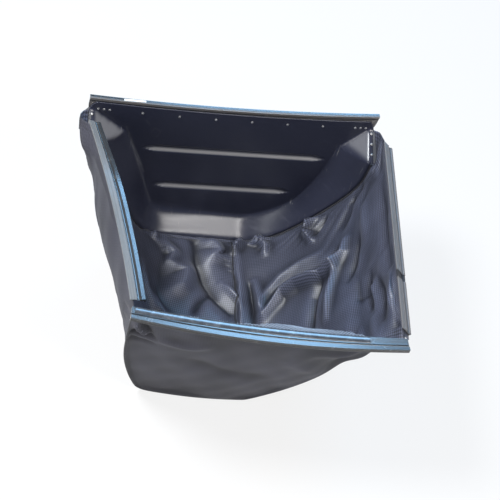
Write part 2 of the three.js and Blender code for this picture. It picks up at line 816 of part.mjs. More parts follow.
// The outline of a corner tab, for the right side.
function tabShape(reach) {
  const inner = flareLipX - tabInset;
  const outside = flareLipX + panelThickness;
  const outer = flareLipX + reach;
  const [upper, lower] = tabSpan;
  const shape = new THREE.Shape();
  const [cutAcross, cutAlong] = tabCorner;
  shape.moveTo(inner, -lower);
  shape.lineTo(outer - cutAcross, -lower);
  shape.lineTo(outer, cutAlong - lower);
  shape.lineTo(outer, -upper - cutAlong);
  shape.lineTo(outer - cutAcross, -upper);
  shape.lineTo(outside, -upper);
  shape.lineTo(outside, -upper - tabShoulder);
  shape.lineTo(inner, -upper - tabShoulder);
  shape.closePath();
  if (reach > 4 * tabHoleRadius) {
    const hole = new THREE.Path();
    hole.absarc((outside + outer) / 2, 0, tabHoleRadius, 0, 2 * Math.PI, true);
    shape.holes.push(hole);
  }
  return shape;
}

function mirrored(geometry) {
  geometry.scale(-1, 1, 1);
  const corners = Array.from(geometry.index.array);
  for (let i = 0; i < corners.length; i += 3) {
    [corners[i + 1], corners[i + 2]] = [corners[i + 2], corners[i + 1]];
  }
  geometry.setIndex(corners);
  return geometry;
}

// Webbing tabs under the lip's slanted ends, held by the lip's rivets.
function buildCornerTabs(places) {
  const normal = lipSlantNormal();
  const middle = lipSlant(1, tabPlace, 0);
  middle.y += panelThickness / 2;
  middle.addScaledVector(normal, -panelThickness / 2 - tabGap - tabThickness);
  const along = new THREE.Vector3(0, normal.z, -normal.y);
  const turn = new THREE.Matrix4().makeBasis(new THREE.Vector3(1, 0, 0), along, normal).setPosition(middle);
  for (const side of ["left", "right"]) {
    const settings = { depth: tabThickness, bevelEnabled: false, curveSegments: 6 };
    const plate = new THREE.ExtrudeGeometry(tabShape(tabReach[side]), settings);
    plate.deleteAttribute("normal");
    plate.deleteAttribute("uv");
    const placed = mergeVertices(plate, 1e-4).applyMatrix4(turn);
    const tab = solidOf(side === "left" ? mirrored(placed) : placed);
    addPiece(`${side}_corner_tab`, geometryOfSolid(drilled(tab, places)), materials.webbing);
  }
}

function buildSmallTrim() {
  const [length, depth, height] = labelSize;
  const label = new THREE.BoxGeometry(length, depth, height);
  const railWidth = panelRailFlange + panelRailTrough + shoulder + panelRailLip;
  const slope = panelRailRise / (2 * panelRailHalfLength);
  label.rotateY(-Math.atan(slope));
  const railTop = bagHeight + clearance - panelRailFlange + railWidth + ridgeHeight;
  const rise = slope * (labelX + panelRailHalfLength);
  const railY = panelFace + panelThickness + clearance;
  label.translate(labelX, railY + labelSetBack, railTop + rise + seatGap + height / 2);
  addPiece("blank_label", label, materials.label);
  const pullTab = new THREE.BoxGeometry(...pullTabSize);
  const seam = front.left.getPoint(pullTabPlace);
  const x = seam.x + pullTabInset;
  const [, tabDepth, tabLength] = pullTabSize;
  const face = frontFace(x, seam.y + tabLength / 2) - fabricThickness / 2;
  pullTab.translate(x, face - 2 * clearance - tabDepth / 2, seam.y);
  addPiece("blank_pull_tab", pullTab, materials.pullTab);
}

const places = rivetPlaces();
buildPanel(places);
buildRails(places);
buildStrips();
buildFront();
buildWelts();
buildFrontTrim();
buildCornerTabs(places);
buildSmallTrim();
buildRivets(places);

// The origin is under the middle of the bag, on the ground.
const box = new THREE.Box3().setFromObject(bag);
const centre = box.getCenter(new THREE.Vector3());
bag.position.set(-centre.x, -centre.y, -box.min.z);

export default bag;
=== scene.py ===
# %% [markdown]
# # A mower's grass collection bag
# The real thing is a floppy fabric bag that hangs behind a ride-on mower. One wall is a deep-drawn black
# plastic panel. The other walls are coated fabric, and clip rails edge the mouth. Here it stands empty on its
# closed end. The solids of every piece are already packed as a fixed frame. This lesson dresses that frame:
# each piece is built over its solid, in the same place, with the detail that a quick solid leaves out.

import math

import bmesh
import bpy
import numpy as np
from mathutils import Matrix, Vector


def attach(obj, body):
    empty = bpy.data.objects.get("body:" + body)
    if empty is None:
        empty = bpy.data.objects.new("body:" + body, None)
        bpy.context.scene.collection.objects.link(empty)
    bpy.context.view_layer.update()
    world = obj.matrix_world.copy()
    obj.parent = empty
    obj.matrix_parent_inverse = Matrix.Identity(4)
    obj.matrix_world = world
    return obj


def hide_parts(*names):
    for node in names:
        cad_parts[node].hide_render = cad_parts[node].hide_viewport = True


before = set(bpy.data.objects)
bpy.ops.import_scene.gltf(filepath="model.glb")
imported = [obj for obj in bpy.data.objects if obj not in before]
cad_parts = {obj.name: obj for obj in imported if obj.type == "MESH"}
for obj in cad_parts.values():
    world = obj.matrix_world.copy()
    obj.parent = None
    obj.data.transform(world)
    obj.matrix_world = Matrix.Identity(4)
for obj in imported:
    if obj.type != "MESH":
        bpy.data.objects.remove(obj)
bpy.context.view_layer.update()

# %% [markdown]
# ## Sizes
# The bag's sizes are easiest to read in millimetres, measured from the middle of the plastic panel's foot.
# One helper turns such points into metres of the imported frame, so no object ever needs moving afterwards.

# %% Millimetres of the bag to metres of the frame
MILLIMETRE = 0.001
BAG_OFFSET = np.array([-1.607, 7.148, 0.0])
BAG_HEIGHT = 436.0
PANEL_FACE = 318.0
CLEARANCE = 0.4
FLANGE = 2.4
MOUTH_TOP = BAG_HEIGHT + 3.4
FABRIC_TOP = MOUTH_TOP - FLANGE - CLEARANCE
FABRIC_THICKNESS = 1.2
LOWEST_CLOTH = 1.2
INSIDE = (0.0, 0.0, 330.0)
INSIDE_FRONT = (0.0, 100.0, 300.0)


def add_object(name, data):
    made = bpy.data.objects.new(name, data)
    bpy.context.collection.objects.link(made)
    return made


def placed(points):
    """Points in the bag's own millimetres, as metres of the frame."""
    return (np.asarray(points, float) + BAG_OFFSET) * MILLIMETRE


print("mouth is", MOUTH_TOP, "mm above the ground")

# %% [markdown]
# ## Camera
# The photograph looks steeply down into the mouth from the front left, and the picture is rolled. A long lens
# four metres away gives its weak perspective. Building the camera's axes from three angles keeps it readable.

# %% Camera at the photograph's viewing angle
AZIMUTH, ELEVATION, ROLL = (math.radians(angle) for angle in (-25.852, 49.35, 23.081))
backwards = Vector(
    (
        math.sin(AZIMUTH) * math.cos(ELEVATION),
        -math.cos(AZIMUTH) * math.cos(ELEVATION),
        math.sin(ELEVATION),
    )
)
level_right = Vector((math.cos(AZIMUTH), math.sin(AZIMUTH), 0.0))
level_up = backwards.cross(level_right)
picture_right = level_right * math.cos(ROLL) + level_up * math.sin(ROLL)
picture_up = level_up * math.cos(ROLL) - level_right * math.sin(ROLL)
looked_at = Vector((0.0235, 0.0249, 0.3))

camera = add_object("camera", bpy.data.cameras.new("camera"))
camera.data.lens = 125.19
camera.data.sensor_width = 36.0
camera.matrix_world = Matrix((picture_right, picture_up, backwards)).transposed().to_4x4()
camera.location = looked_at + backwards * 4.0
bpy.context.scene.camera = camera
bpy.context.scene.view_settings.view_transform = "Standard"
print("camera at", tuple(round(v, 2) for v in camera.location))

# %% [markdown]
# ## Shader maths
# A finish is easier to read as a formula than as a web of nodes. The class below wraps one output socket and
# lets Python's operators add the Math nodes. A second class holds a material and makes any other node.


# %% A socket that can be calculated with
class Signal:
    def __init__(self, finish, socket):
        self.finish = finish
        self.socket = socket

    def maths(self, operation, *values):
        return self.finish.node("ShaderNodeMath", list(values), operation=operation)

    def __add__(self, other):
        return self.maths("ADD", self, other)

    def __sub__(self, other):
        return self.maths("SUBTRACT", self, other)

    def __rsub__(self, other):
        return self.maths("SUBTRACT", other, self)

    def __mul__(self, other):
        return self.maths("MULTIPLY", self, other)

    __radd__ = __add__
    __rmul__ = __mul__

    def wave(self):
        return self.maths("SINE", self)

    def size(self):
        return self.maths("ABSOLUTE", self)

    def between(self, low, high):
        """0 below low, 1 above high, and a smooth step from one to the other."""
        inputs = {"Value": self, "From Min": low, "From Max": high}
        return self.finish.node("ShaderNodeMapRange", inputs, interpolation_type="SMOOTHSTEP")


# %% A material and its nodes
def plug(tree, socket, value):
    """Links the value to the socket if it is another node's output, and sets it otherwise."""
    value = value.socket if isinstance(value, Signal) else value
    if isinstance(value, bpy.types.NodeSocket):
        tree.links.new(value, socket)
    else:
        socket.default_value = value


def add_node(tree, kind, inputs, outlet, settings):
    made = tree.nodes.new(kind)
    for name, value in settings.items():
        setattr(made, name, value)
    for key, value in inputs.items() if isinstance(inputs, dict) else enumerate(inputs):
        plug(tree, made.inputs[key], value)
    return made.outputs[outlet]


class Finish:
    def __init__(self, name):
        self.material = bpy.data.materials.new(name)
        self.material.use_nodes = True
        self.tree = self.material.node_tree
        self.shader = self.tree.nodes["Principled BSDF"]

    def node(self, kind, inputs=(), outlet=0, **settings):
        return Signal(self, add_node(self.tree, kind, inputs, outlet, settings))

    def plug(self, socket, value):
        plug(self.tree, socket, value)

    def set(self, **values):
        """Values or links of the shader's sockets, with _ for each space in a socket's name."""
        for name, value in values.items():
            self.plug(self.shader.inputs[name.replace("_", " ")], value)
        return self.material

    def place(self, scale=(1.0, 1.0, 1.0), turn=(0.0, 0.0, 0.0)):
        """Object coordinates, scaled and turned."""
        where = self.node("ShaderNodeTexCoord", outlet="Object")
        return self.node("ShaderNodeMapping", {"Vector": where, "Scale": scale, "Rotation": turn})

    def noise(self, where, scale, detail=3.0, roughness=0.5):
        inputs = {"Vector": where, "Scale": scale, "Detail": detail, "Roughness": roughness}
        return self.node("ShaderNodeTexNoise", inputs)

    def painted(self, name):
        """A number that the mesh carries at each of its points."""
        return self.node("ShaderNodeAttribute", outlet="Fac", attribute_name=name)

    def mix(self, amount, first, second):
        inputs = {0: amount, 6: first, 7: second}
        return self.node("ShaderNodeMix", inputs, outlet=2, data_type="RGBA")

    def bump(self, height, depth, strength=1.0):
        """A normal for relief whose full height of 1 is depth metres."""
        inputs = {"Height": height, "Distance": depth, "Strength": strength}
        return self.node("ShaderNodeBump", inputs)


def grey(value, red=1.0, green=1.0, blue=1.0):
    return (value * red, value * green, value * blue, 1.0)


print("shader helpers ready")

# %% [markdown]
# ## Moulded plastic
# The panel is black polypropylene, drawn from sheet. It is satin, with a faint grain, cloudy wear on its flat
# face and hair-thin scratches along its creases. Its corner flares are painted paler, partly for plastic that
# stretching has whitened and partly as a painted reflection, and the lower flank of each rib carries a painted
# highlight. The mesh carries a painted number for worn creases, one for scratches, and one for the flares and
# the ribs' painted highlight, so the marks follow the shape.


# %% Finish of the drawn panel
def drawn_plastic():
    finish = Finish("drawn_black_plastic")
    where = finish.place()
    cloud = finish.noise(where, 11.0, 5.0, 0.6)
    smear = finish.noise(finish.place(scale=(2.0, 2.0, 14.0), turn=(0.0, 0.5, 0.0)), 14.0, 6.0, 0.7)
    grain = finish.noise(where, 900.0, 2.0)
    hair = finish.noise(finish.place(scale=(260.0, 30.0, 9.0), turn=(0.0, 0.35, 0.0)), 1.0, 4.0, 0.75)
    scratches = hair.between(0.6, 0.7) * finish.painted("crease_wear") + finish.painted("scratch") * cloud
    # Paler flares, partly whitened plastic and partly painted reflection, and a painted highlight on the ribs' lower
    # flanks.
    whitening_and_highlight = finish.painted("flare_paleness_and_highlight")
    haze = cloud.between(0.42, 0.72) * smear.between(0.45, 0.75)
    colour = finish.mix(haze * 0.6, grey(0.029, 0.93, 1.02, 1.75), grey(0.055, 0.95, 1.02, 1.6))
    # Pale grey for the flares and for the painted highlight on the ribs.
    colour = finish.mix(whitening_and_highlight, colour, grey(0.4, 1.0, 1.0, 1.03))
    colour = finish.mix(scratches, colour, grey(0.2, 1.0, 1.0, 1.05))
    relief = finish.bump(grain * 0.7 + cloud * 0.3, 0.00012, 0.6)
    return finish.set(
        Base_Color=colour,
        Roughness=0.3 + haze * 0.12 + whitening_and_highlight * 0.25,
        Normal=relief,
        Specular_IOR_Level=0.75,
    )


# %% [markdown]
# ## Extruded rails
# The rails are extruded in dark plastic, which leaves fine lines along their length, and they are glossy enough
# to mirror the sky, except where their flat faces are painted pale. That paleness is partly sun fading, and on the
# right rails and the panel's rail it is partly a painted highlight. Their meshes get a UV map in metres, along
# the rail and round its section, so the lines run along each rail at one width, however it lies.


# %% Finish of the clip rails
def extruded_plastic(name, fading_and_highlight, gloss=0.8, warmth=1.0):
    """The number after the name is how pale the flat flange and lip are painted: partly sun fading and partly a
    painted highlight. The trough stays dark and glossy.
    """
    finish = Finish(name)
    uv = finish.node("ShaderNodeTexCoord", outlet="UV")
    lines = finish.noise(finish.node("ShaderNodeMapping", {"Vector": uv, "Scale": (2.5, 1100.0, 1.0)}), 1.0, 3.0)
    rubs = finish.noise(finish.place(), 42.0, 5.0, 0.65)
    worn = rubs.between(0.52, 0.74)
    flat = finish.painted("flat_face")
    colour = finish.mix(lines.between(0.3, 0.7), grey(0.03, 0.93, 1.0, 1.1), grey(0.055, 0.95, 1.0, 1.06))
    # Pale tone of the flat faces: sun fading, and partly a painted highlight.
    fading_and_highlight_tone = finish.mix(lines.between(0.3, 0.7), grey(0.11, warmth, 1.0, 0.99), grey(0.21, warmth, 1.0, 0.99))
    colour = finish.mix(flat * fading_and_highlight, colour, fading_and_highlight_tone)
    colour = finish.mix(worn * 0.35, colour, grey(0.16, 1.0, 1.0, 0.98))
    relief = finish.bump(lines, 0.00014, 0.5)
    return finish.set(
        Base_Color=colour,
        Roughness=0.17 + worn * 0.12 + lines * 0.05 + flat * (0.3 * fading_and_highlight),
        Normal=relief,
        Coat_Weight=0.8 - flat * (0.7 * fading_and_highlight),
        Coat_Roughness=0.12,
        Specular_IOR_Level=gloss,
    )


# %% [markdown]
# ## Coated fabric
# The walls are a plain-woven polyester with a coating. Its outside is a matt charcoal. Its inside is coated, so
# it is darker and shines softly. A painted number darkens the hollow of each fold and lightens its crest, as
# painted shade and painted highlight. Both sides show the weave: threads that pass over and under each other,
# drawn with sines and kept at their real size by the UV map.


# %% Finish of the bag's fabric
def woven_height(finish, thread):
    """Which thread of a plain weave is on top, and its height, from 0 at its edge to 1 on its crest."""
    uv = finish.node("ShaderNodeTexCoord", outlet="UV")
    turned = finish.node("ShaderNodeMapping", {"Vector": uv, "Rotation": (0.0, 0.0, math.radians(38.0))})
    u = finish.node("ShaderNodeSeparateXYZ", [turned], outlet="X") * (math.pi / thread)
    v = finish.node("ShaderNodeSeparateXYZ", [turned], outlet="Y") * (math.pi / thread)
    across, along = u.wave(), v.wave()
    over = (across * along).between(-0.25, 0.25)
    return over, over * across.size() + (1.0 - over) * along.size()


def coated_fabric(name, dark, pale, roughness, sheen, weave_share=0.66, thread=0.0037):
    finish = Finish(name)
    over, weave = woven_height(finish, thread)
    cloud = finish.noise(finish.place(), 6.0, 4.0, 0.55)
    speck = finish.noise(finish.place(), 310.0, 3.0, 0.6)
    even = (cloud.between(0.35, 0.7) * 0.6 + speck * 0.4) * (0.9 - weave_share)
    shade = over * weave_share + weave * 0.1 + even
    # Painted shade in the hollows of the folds and a painted highlight on their crests.
    colour = finish.mix(shade * (0.2 + 1.6 * finish.painted("fold_shade_and_highlight")), dark, pale)
    dust = speck.between(0.66, 0.8) * cloud.between(0.5, 0.7)
    colour = finish.mix(dust * 0.3, colour, grey(0.2, 1.0, 0.98, 0.94))
    relief = finish.bump(weave + cloud * 0.2, 0.00045, 0.55)
    return finish.set(
        Base_Color=colour,
        Roughness=roughness + (1.0 - weave) * 0.12,
        Normal=relief,
        Specular_IOR_Level=0.65,
        Sheen_Weight=sheen,
        Sheen_Roughness=0.45,
        Sheen_Tint=grey(1.0, 0.86, 0.9, 1.0),
    )


# %% [markdown]
# ## Small finishes
# Thread, piping, webbing and netting are spun or woven too, so each gets fine strands. The rivets are bare
# aluminium, a little dulled. The label and the ribbon tab are blank.


# %% Finishes of the trim
def strands(name, dark, pale, scale, roughness, depth=0.0002):
    finish = Finish(name)
    where = finish.place(turn=(0.4, 0.6, 0.3))
    twist = finish.node("ShaderNodeTexWave", {"Vector": where, "Scale": scale, "Distortion": 1.4, "Detail": 2.0})
    fuzz = finish.noise(where, scale * 3.0, 3.0)
    colour = finish.mix(twist * 0.6 + fuzz * 0.4, dark, pale)
    return finish.set(Base_Color=colour, Roughness=roughness, Normal=finish.bump(twist, depth, 0.7))


def bare_aluminium():
    finish = Finish("dulled_aluminium")
    blotch = finish.noise(finish.place(), 420.0, 4.0, 0.6)
    colour = finish.mix(blotch, grey(0.42, 1.0, 1.0, 1.02), grey(0.72, 1.0, 1.0, 1.0))
    return finish.set(
        Base_Color=colour, Metallic=0.85, Roughness=0.3 + blotch * 0.25, Normal=finish.bump(blotch, 0.0001, 0.6)
    )


def coated_tape():
    finish = Finish("coated_hem_tape")
    rubs = finish.noise(finish.place(), 60.0, 5.0, 0.6)
    fine = finish.noise(finish.place(), 900.0, 2.0)
    colour = finish.mix(rubs.between(0.4, 0.7), grey(0.06, 0.9, 1.0, 1.2), grey(0.12, 0.92, 1.0, 1.15))
    return finish.set(
        Base_Color=colour,
        Roughness=0.2 + rubs * 0.12,
        Coat_Weight=0.9,
        Coat_Roughness=0.12,
        Normal=finish.bump(fine, 0.00002, 0.5),
    )


def blank_film():
    finish = Finish("blank_label_film")
    mottle = finish.noise(finish.place(), 160.0, 4.0)
    colour = finish.mix(mottle, grey(0.62, 1.0, 1.0, 0.99), grey(0.8, 1.0, 1.0, 0.99))
    return finish.set(Base_Color=colour, Roughness=0.4 + mottle * 0.15)


panel_finish = drawn_plastic()
glossy_rail = extruded_plastic("extruded_dark_plastic", 0.12)
faded_rail = extruded_plastic("sun_faded_extrusion", 0.95, 0.6)
# The right rails and the panel's rail are painted pale beige, partly for sun fading and partly as a painted highlight.
beige_rail = extruded_plastic("beige_faded_and_highlit_extrusion", 0.95, 0.4, 1.08)
top_rail = extruded_plastic("panel_rail_extrusion", 0.75, 0.5, 1.06)
outside_shades = grey(0.012, 1.0, 0.99, 1.45), grey(0.05, 1.0, 0.99, 1.42)
inside_shades = grey(0.006, 0.93, 1.02, 1.6), grey(0.12, 0.93, 1.02, 1.5)
outer_fabric = coated_fabric("fabric_outside", *outside_shades, 0.66, 0.04, weave_share=0.16)
inner_fabric = coated_fabric("fabric_inside", *inside_shades, 0.36, 0.1)
thread_finish = strands("sewing_thread", grey(0.02), grey(0.085, 0.95, 1.0, 1.1), 900.0, 0.5)
piping_finish = strands("piping_tape", grey(0.014, 1, 1, 1.2), grey(0.04, 1, 1, 1.2), 500.0, 0.55)
webbing_finish = strands("grey_webbing", grey(0.05, 1, 1, 1.08), grey(0.12, 1, 1, 1.08), 420.0, 0.6)
# The netting's pale blue is a painted reflection: it stands for glints of the sky on its threads.
netting_glint_finish = strands("netting_thread_glint", grey(0.34, 0.75, 0.95, 1.25), grey(0.7, 0.8, 0.97, 1.2), 600.0, 0.3)
tape_finish = coated_tape()
ribbon_finish = strands("red_ribbon", grey(0.3, 1.0, 0.12, 0.08), grey(0.5, 1.0, 0.16, 0.1), 700.0, 0.7)
rivet_finish = bare_aluminium()
label_finish = blank_film()
print("finishes:", len(bpy.data.materials))

# %% [markdown]
# ## Stage and light
# The ground is plain and pale. Seen by the camera or in a reflection it is mostly white, so the background
# stays clean while the bag keeps a soft shadow. The main softbox hangs high on the left and lights the inside. A
# warm one above the front and a low one at the left fill the shadows, and a blue one above the back stands for
# the sky that the rails mirror.


# %% Ground, softboxes and even light
def stage_floor():
    mesh = bpy.data.meshes.new("ground")
    half = 9.0
    corners = [(-half, -half, -0.0015), (half, -half, -0.0015), (half, half, -0.0015), (-half, half, -0.0015)]
    mesh.from_pydata(corners, [], [(0, 1, 2, 3)])
    floor = add_object("ground", mesh)
    finish = Finish("pale_ground")
    finish.set(Base_Color=grey(0.8), Roughness=0.9)
    path = finish.tree.nodes.new("ShaderNodeLightPath")
    seen = Signal(finish, path.outputs["Is Camera Ray"]) + Signal(finish, path.outputs["Is Glossy Ray"])
    glow = finish.node("ShaderNodeEmission", {"Color": grey(1.0), "Strength": 1.0})
    shader = Signal(finish, finish.shader.outputs[0])
    mixed = finish.node("ShaderNodeMixShader", {0: seen * 0.8, 1: shader, 2: glow})
    finish.plug(finish.tree.nodes["Material Output"].inputs["Surface"], mixed)
    mesh.materials.append(finish.material)


def softbox(name, direction, distance, size, power, colour):
    data = bpy.data.lights.new(name, "AREA")
    data.shape = "DISK"
    data.size = size
    data.energy = power
    data.color = colour
    light = add_object(name, data)
    towards = Vector(direction).normalized()
    light.location = Vector((0.0, 0.0, 0.2)) + towards * distance
    light.rotation_mode = "QUATERNION"
    light.rotation_quaternion = (-towards).to_track_quat("-Z", "Y")


stage_floor()
softbox("overhead_left", (-0.55, 0.05, 0.83), 3.2, 0.9, 122.0, (0.94, 0.97, 1.0))
softbox("warm_front", (0.3, -0.51, 0.8), 3.2, 1.1, 44.0, (1.0, 0.975, 0.95))
softbox("low_left", (-0.75, -0.6, 0.32), 3.4, 1.4, 24.0, (1.0, 0.98, 0.97))
softbox("sky_behind", (0.3, 0.58, 0.76), 3.4, 1.3, 54.0, (0.3, 0.62, 1.0))
world = bpy.data.worlds.new("even_light")
bpy.context.scene.world = world
world.use_nodes = True
world.node_tree.nodes["Background"].inputs["Color"].default_value = (0.86, 0.92, 1.0, 1.0)
world.node_tree.nodes["Background"].inputs["Strength"].default_value = 0.1
print("lights:", len(bpy.data.lights))

# %% [markdown]
# ## Mesh helpers
# Most pieces are either a grid of points with a thickness, as a sheet has, or a section carried along a path,
# as an extruded rail is. Both are written once here. Each mesh is closed, faces outwards and has a UV map in
# metres, so that the weave and the lines keep their size.


# %% Objects, grids and closed sheets
def evaluated(piece):
    """The object as its modifiers leave it."""
    return piece.evaluated_get(bpy.context.evaluated_depsgraph_get())


def shade(mesh, sharp=None):
    """Smooth shading, with hard edges where faces meet at more than `sharp` degrees."""
    mesh.polygons.foreach_set("use_smooth", [True] * len(mesh.polygons))
    if sharp:
        mesh.set_sharp_from_angle(angle=math.radians(sharp))


def add_mesh(name, points, faces, finishes, uv=None, face_finish=None, sharp=None):
    mesh = bpy.data.meshes.new(name)
    mesh.from_pydata(np.asarray(points).tolist(), [], faces)
    for finish in finishes:
        mesh.materials.append(finish)
    if face_finish is not None:
        mesh.polygons.foreach_set("material_index", face_finish)
    if uv is not None:
        corners = np.empty(len(mesh.loops), dtype=np.int32)
        mesh.loops.foreach_get("vertex_index", corners)
        layer = mesh.uv_layers.new(name="metres")
        layer.data.foreach_set("uv", np.asarray(uv, dtype=np.float32)[corners].ravel())
    shade(mesh, sharp)
    mesh.validate()
    return add_object(name, mesh)


def paint(piece, name, values):
    layer = piece.data.attributes.new(name, "FLOAT", "POINT")
    layer.data.foreach_set("value", np.asarray(values, dtype=np.float32).ravel())


def grid_normals(grid):
    along = np.gradient(grid, axis=0)
    across = np.gradient(grid, axis=1)
    normals = np.cross(across, along)
    return normals / np.maximum(np.linalg.norm(normals, axis=2, keepdims=True), 1e-9)


def inward_normals(grid, inside):
    """The grid's normals, turned to the side where the point `inside` lies."""
    normals = grid_normals(grid)
    return normals * np.sign(((np.asarray(inside) - grid) * normals).sum(axis=2, keepdims=True))


def grid_uv(grid):
    """UV in metres along the rows and columns, at their mean spacing."""
    steps_across = np.linalg.norm(np.diff(grid, axis=1), axis=2)
    steps_along = np.linalg.norm(np.diff(grid, axis=0), axis=2)
    u = np.concatenate([[0.0], np.cumsum(steps_across.mean(axis=0))])
    v = np.concatenate([[0.0], np.cumsum(steps_along.mean(axis=1))])
    rows, columns = grid.shape[:2]
    return np.stack([np.tile(u, (rows, 1)), np.tile(v[:, None], (1, columns))], axis=2).reshape(-1, 2)


def sheet_from_grid(name, grid, thickness, towards, finishes, shift=0.0):
    """A closed sheet. Its first finish is on the side that faces `towards`, and its second on the other."""
    rows, columns = grid.shape[:2]
    normals = grid_normals(grid)
    if float(((towards - grid) * normals).sum()) < 0:
        normals = -normals
    front = grid + normals * (shift + thickness / 2)
    rear = grid + normals * (shift - thickness / 2)
    count = rows * columns
    index = np.arange(count).reshape(rows, columns)
    a, b, c, d = index[:-1, :-1], index[:-1, 1:], index[1:, 1:], index[1:, :-1]
    quads = np.stack([a, b, c, d], axis=-1).reshape(-1, 4)
    first = grid[0, 0], grid[0, 1], grid[1, 1]
    facing = np.dot(np.cross(first[1] - first[0], first[2] - first[1]), normals[0, 0]) > 0
    quads = quads if facing else quads[:, ::-1]
    loop = np.concatenate([index[0, :-1], index[:-1, -1], index[-1, :0:-1], index[:0:-1, 0]])
    after = np.roll(loop, -1)
    rim = np.stack([after, loop, loop + count, after + count], axis=-1)
    rim = rim if facing else rim[:, ::-1]
    faces = np.concatenate([quads, quads[:, ::-1] + count, rim])
    slots = np.concatenate([np.zeros(len(quads)), np.ones(len(quads) + len(rim))]).astype(np.int32)
    uv = grid_uv(grid)
    points = np.concatenate([front.reshape(-1, 3), rear.reshape(-1, 3)])
    return add_mesh(name, points, faces.tolist(), finishes, np.concatenate([uv, uv]), slots)


# %% A section carried along a path
def sweep(name, section, frames, finish, sharp=32.0):
    """`frames` holds a point, an `across` and an `up` for each place. `section` is one, or one for each place."""
    section = np.asarray(section, float) * MILLIMETRE
    points, across, up = (np.asarray(part, float) for part in zip(*frames))
    sections = section if section.ndim == 3 else np.repeat(section[None], len(points), axis=0)
    section = sections[len(sections) // 2]
    grid = points[:, None] + sections[..., :1] * across[:, None] + sections[..., 1:] * up[:, None]
    rows, count = grid.shape[:2]
    index = np.arange(rows * count).reshape(rows, count)
    after = np.roll(index, -1, axis=1)
    quads = np.stack([index[:-1], after[:-1], after[1:], index[1:]], axis=-1).reshape(-1, 4)
    x, y = section[:, 0], section[:, 1]
    area = float((x * np.roll(y, -1) - y * np.roll(x, -1)).sum())
    path = points[-1] - points[0]
    handed = np.dot(np.cross(across[0], up[0]), path if np.linalg.norm(path) > 1e-6 else points[1] - points[0])
    outwards = area * handed > 0
    faces = (quads if outwards else quads[:, ::-1]).tolist()
    start, end = index[0].tolist(), index[-1].tolist()
    faces += [start[::-1], end] if outwards else [start, end[::-1]]
    girth = np.concatenate([[0.0], np.cumsum(np.hypot(np.diff(x), np.diff(y)))])
    length = np.concatenate([[0.0], np.cumsum(np.linalg.norm(np.diff(points, axis=0), axis=1))])
    uv = np.stack([np.tile(length[:, None], (1, count)), np.tile(girth, (rows, 1))], axis=2).reshape(-1, 2)
    return add_mesh(name, grid.reshape(-1, 3), faces, [finish], uv, sharp=sharp)


def carried(piece, slot, *nodes):
    """The piece rides with the bag and takes the place of these solids. `slot` is not used."""
    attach(piece, "root")
    if nodes:
        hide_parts(*nodes)
    print(piece.name, len(piece.data.polygons), "faces")
    return piece


# %% [markdown]
# ## Outlines
# Three outlines shape the bag, seen from the front: the crease where the panel's flat face ends, the rim of its
# drawn wall, and the edge of the fabric front. Each is a smooth curve down both sides with a level bottom. The
# fabric between two outlines is then a loft, with matching points on both.


# %% Smooth outlines
def smooth_curve(points, samples=400):
    """A curve through the points, as many splines draw it, sampled evenly in its own parameter."""
    points = np.asarray(points, float)
    last = len(points) - 1
    place = np.linspace(0.0, last, samples)
    start = np.minimum(place.astype(int), last - 1)
    t = (place - start)[:, None]
    before, here = points[np.maximum(start - 1, 0)], points[start]
    there, beyond = points[start + 1], points[np.minimum(start + 2, last)]
    leave, arrive = (there - before) / 2, (beyond - here) / 2
    cubic = (2 * here - 2 * there + leave + arrive) * t**3
    return cubic + (3 * there - 3 * here - 2 * leave - arrive) * t**2 + leave * t + here


def evenly(line, count):
    """The line's points, respaced to count equal steps along it."""
    line = np.asarray(line, float)
    length = np.concatenate([[0.0], np.cumsum(np.linalg.norm(np.diff(line, axis=0), axis=1))])
    wanted = np.linspace(0.0, length[-1], count + 1)
    return np.stack([np.interp(wanted, length, line[:, i]) for i in range(line.shape[1])], axis=1)


def smoothed(line, times):
    """The line with its inner points drawn towards their neighbours."""
    for _ in range(times):
        line[1:-1] = (line[:-2] + line[1:-1] * 2 + line[2:]) / 4
    return line


def raised(points):
    """Points given as x and a share of the bag's height, in millimetres."""
    return [(x, share * BAG_HEIGHT) for x, share in points]


LIP_WIDTH = 14.0
SEAM_TOP = FABRIC_TOP - 3.2
crease_sides = (
    raised([(283, 0.78), (268, 0.55), (247, 0.39), (222, 0.27), (165, 0.165), (112, 0.118)]),
    raised([(-112, 0.145), (-138, 0.185), (-156, 0.3), (-192, 0.5413), (-250, 0.7867)]),
)
rim_sides = (
    raised([(333, 0.8555), (334, 0.688), (310, 0.523), (245, 0.2752), (178, 0.1009)]) + [(112, LIP_WIDTH)],
    raised([(-112, 0.07), (-152, 0.126), (-182, 0.22), (-236, 0.4587), (-306, 0.688), (-333, 0.8555)]),
)
front_sides = (
    [(294, SEAM_TOP)]
    + raised([(244, 0.9037), (236, 0.77), (222, 0.722), (202, 0.7), (179, 0.465), (128, 0.2248)])
    + [(62, 8.0)],
    [(-197, 2.5)] + raised([(-240, 0.2225), (-276, 0.5115)]) + [(-304, SEAM_TOP)],
)
FLOOR_SEAM_X = {"panel": 92.0, "front": 46.0}
SIDE_STEPS, RIGHT_STEPS, LEFT_STEPS = 66, 6, 26
SEAM_ROW = SIDE_STEPS + RIGHT_STEPS


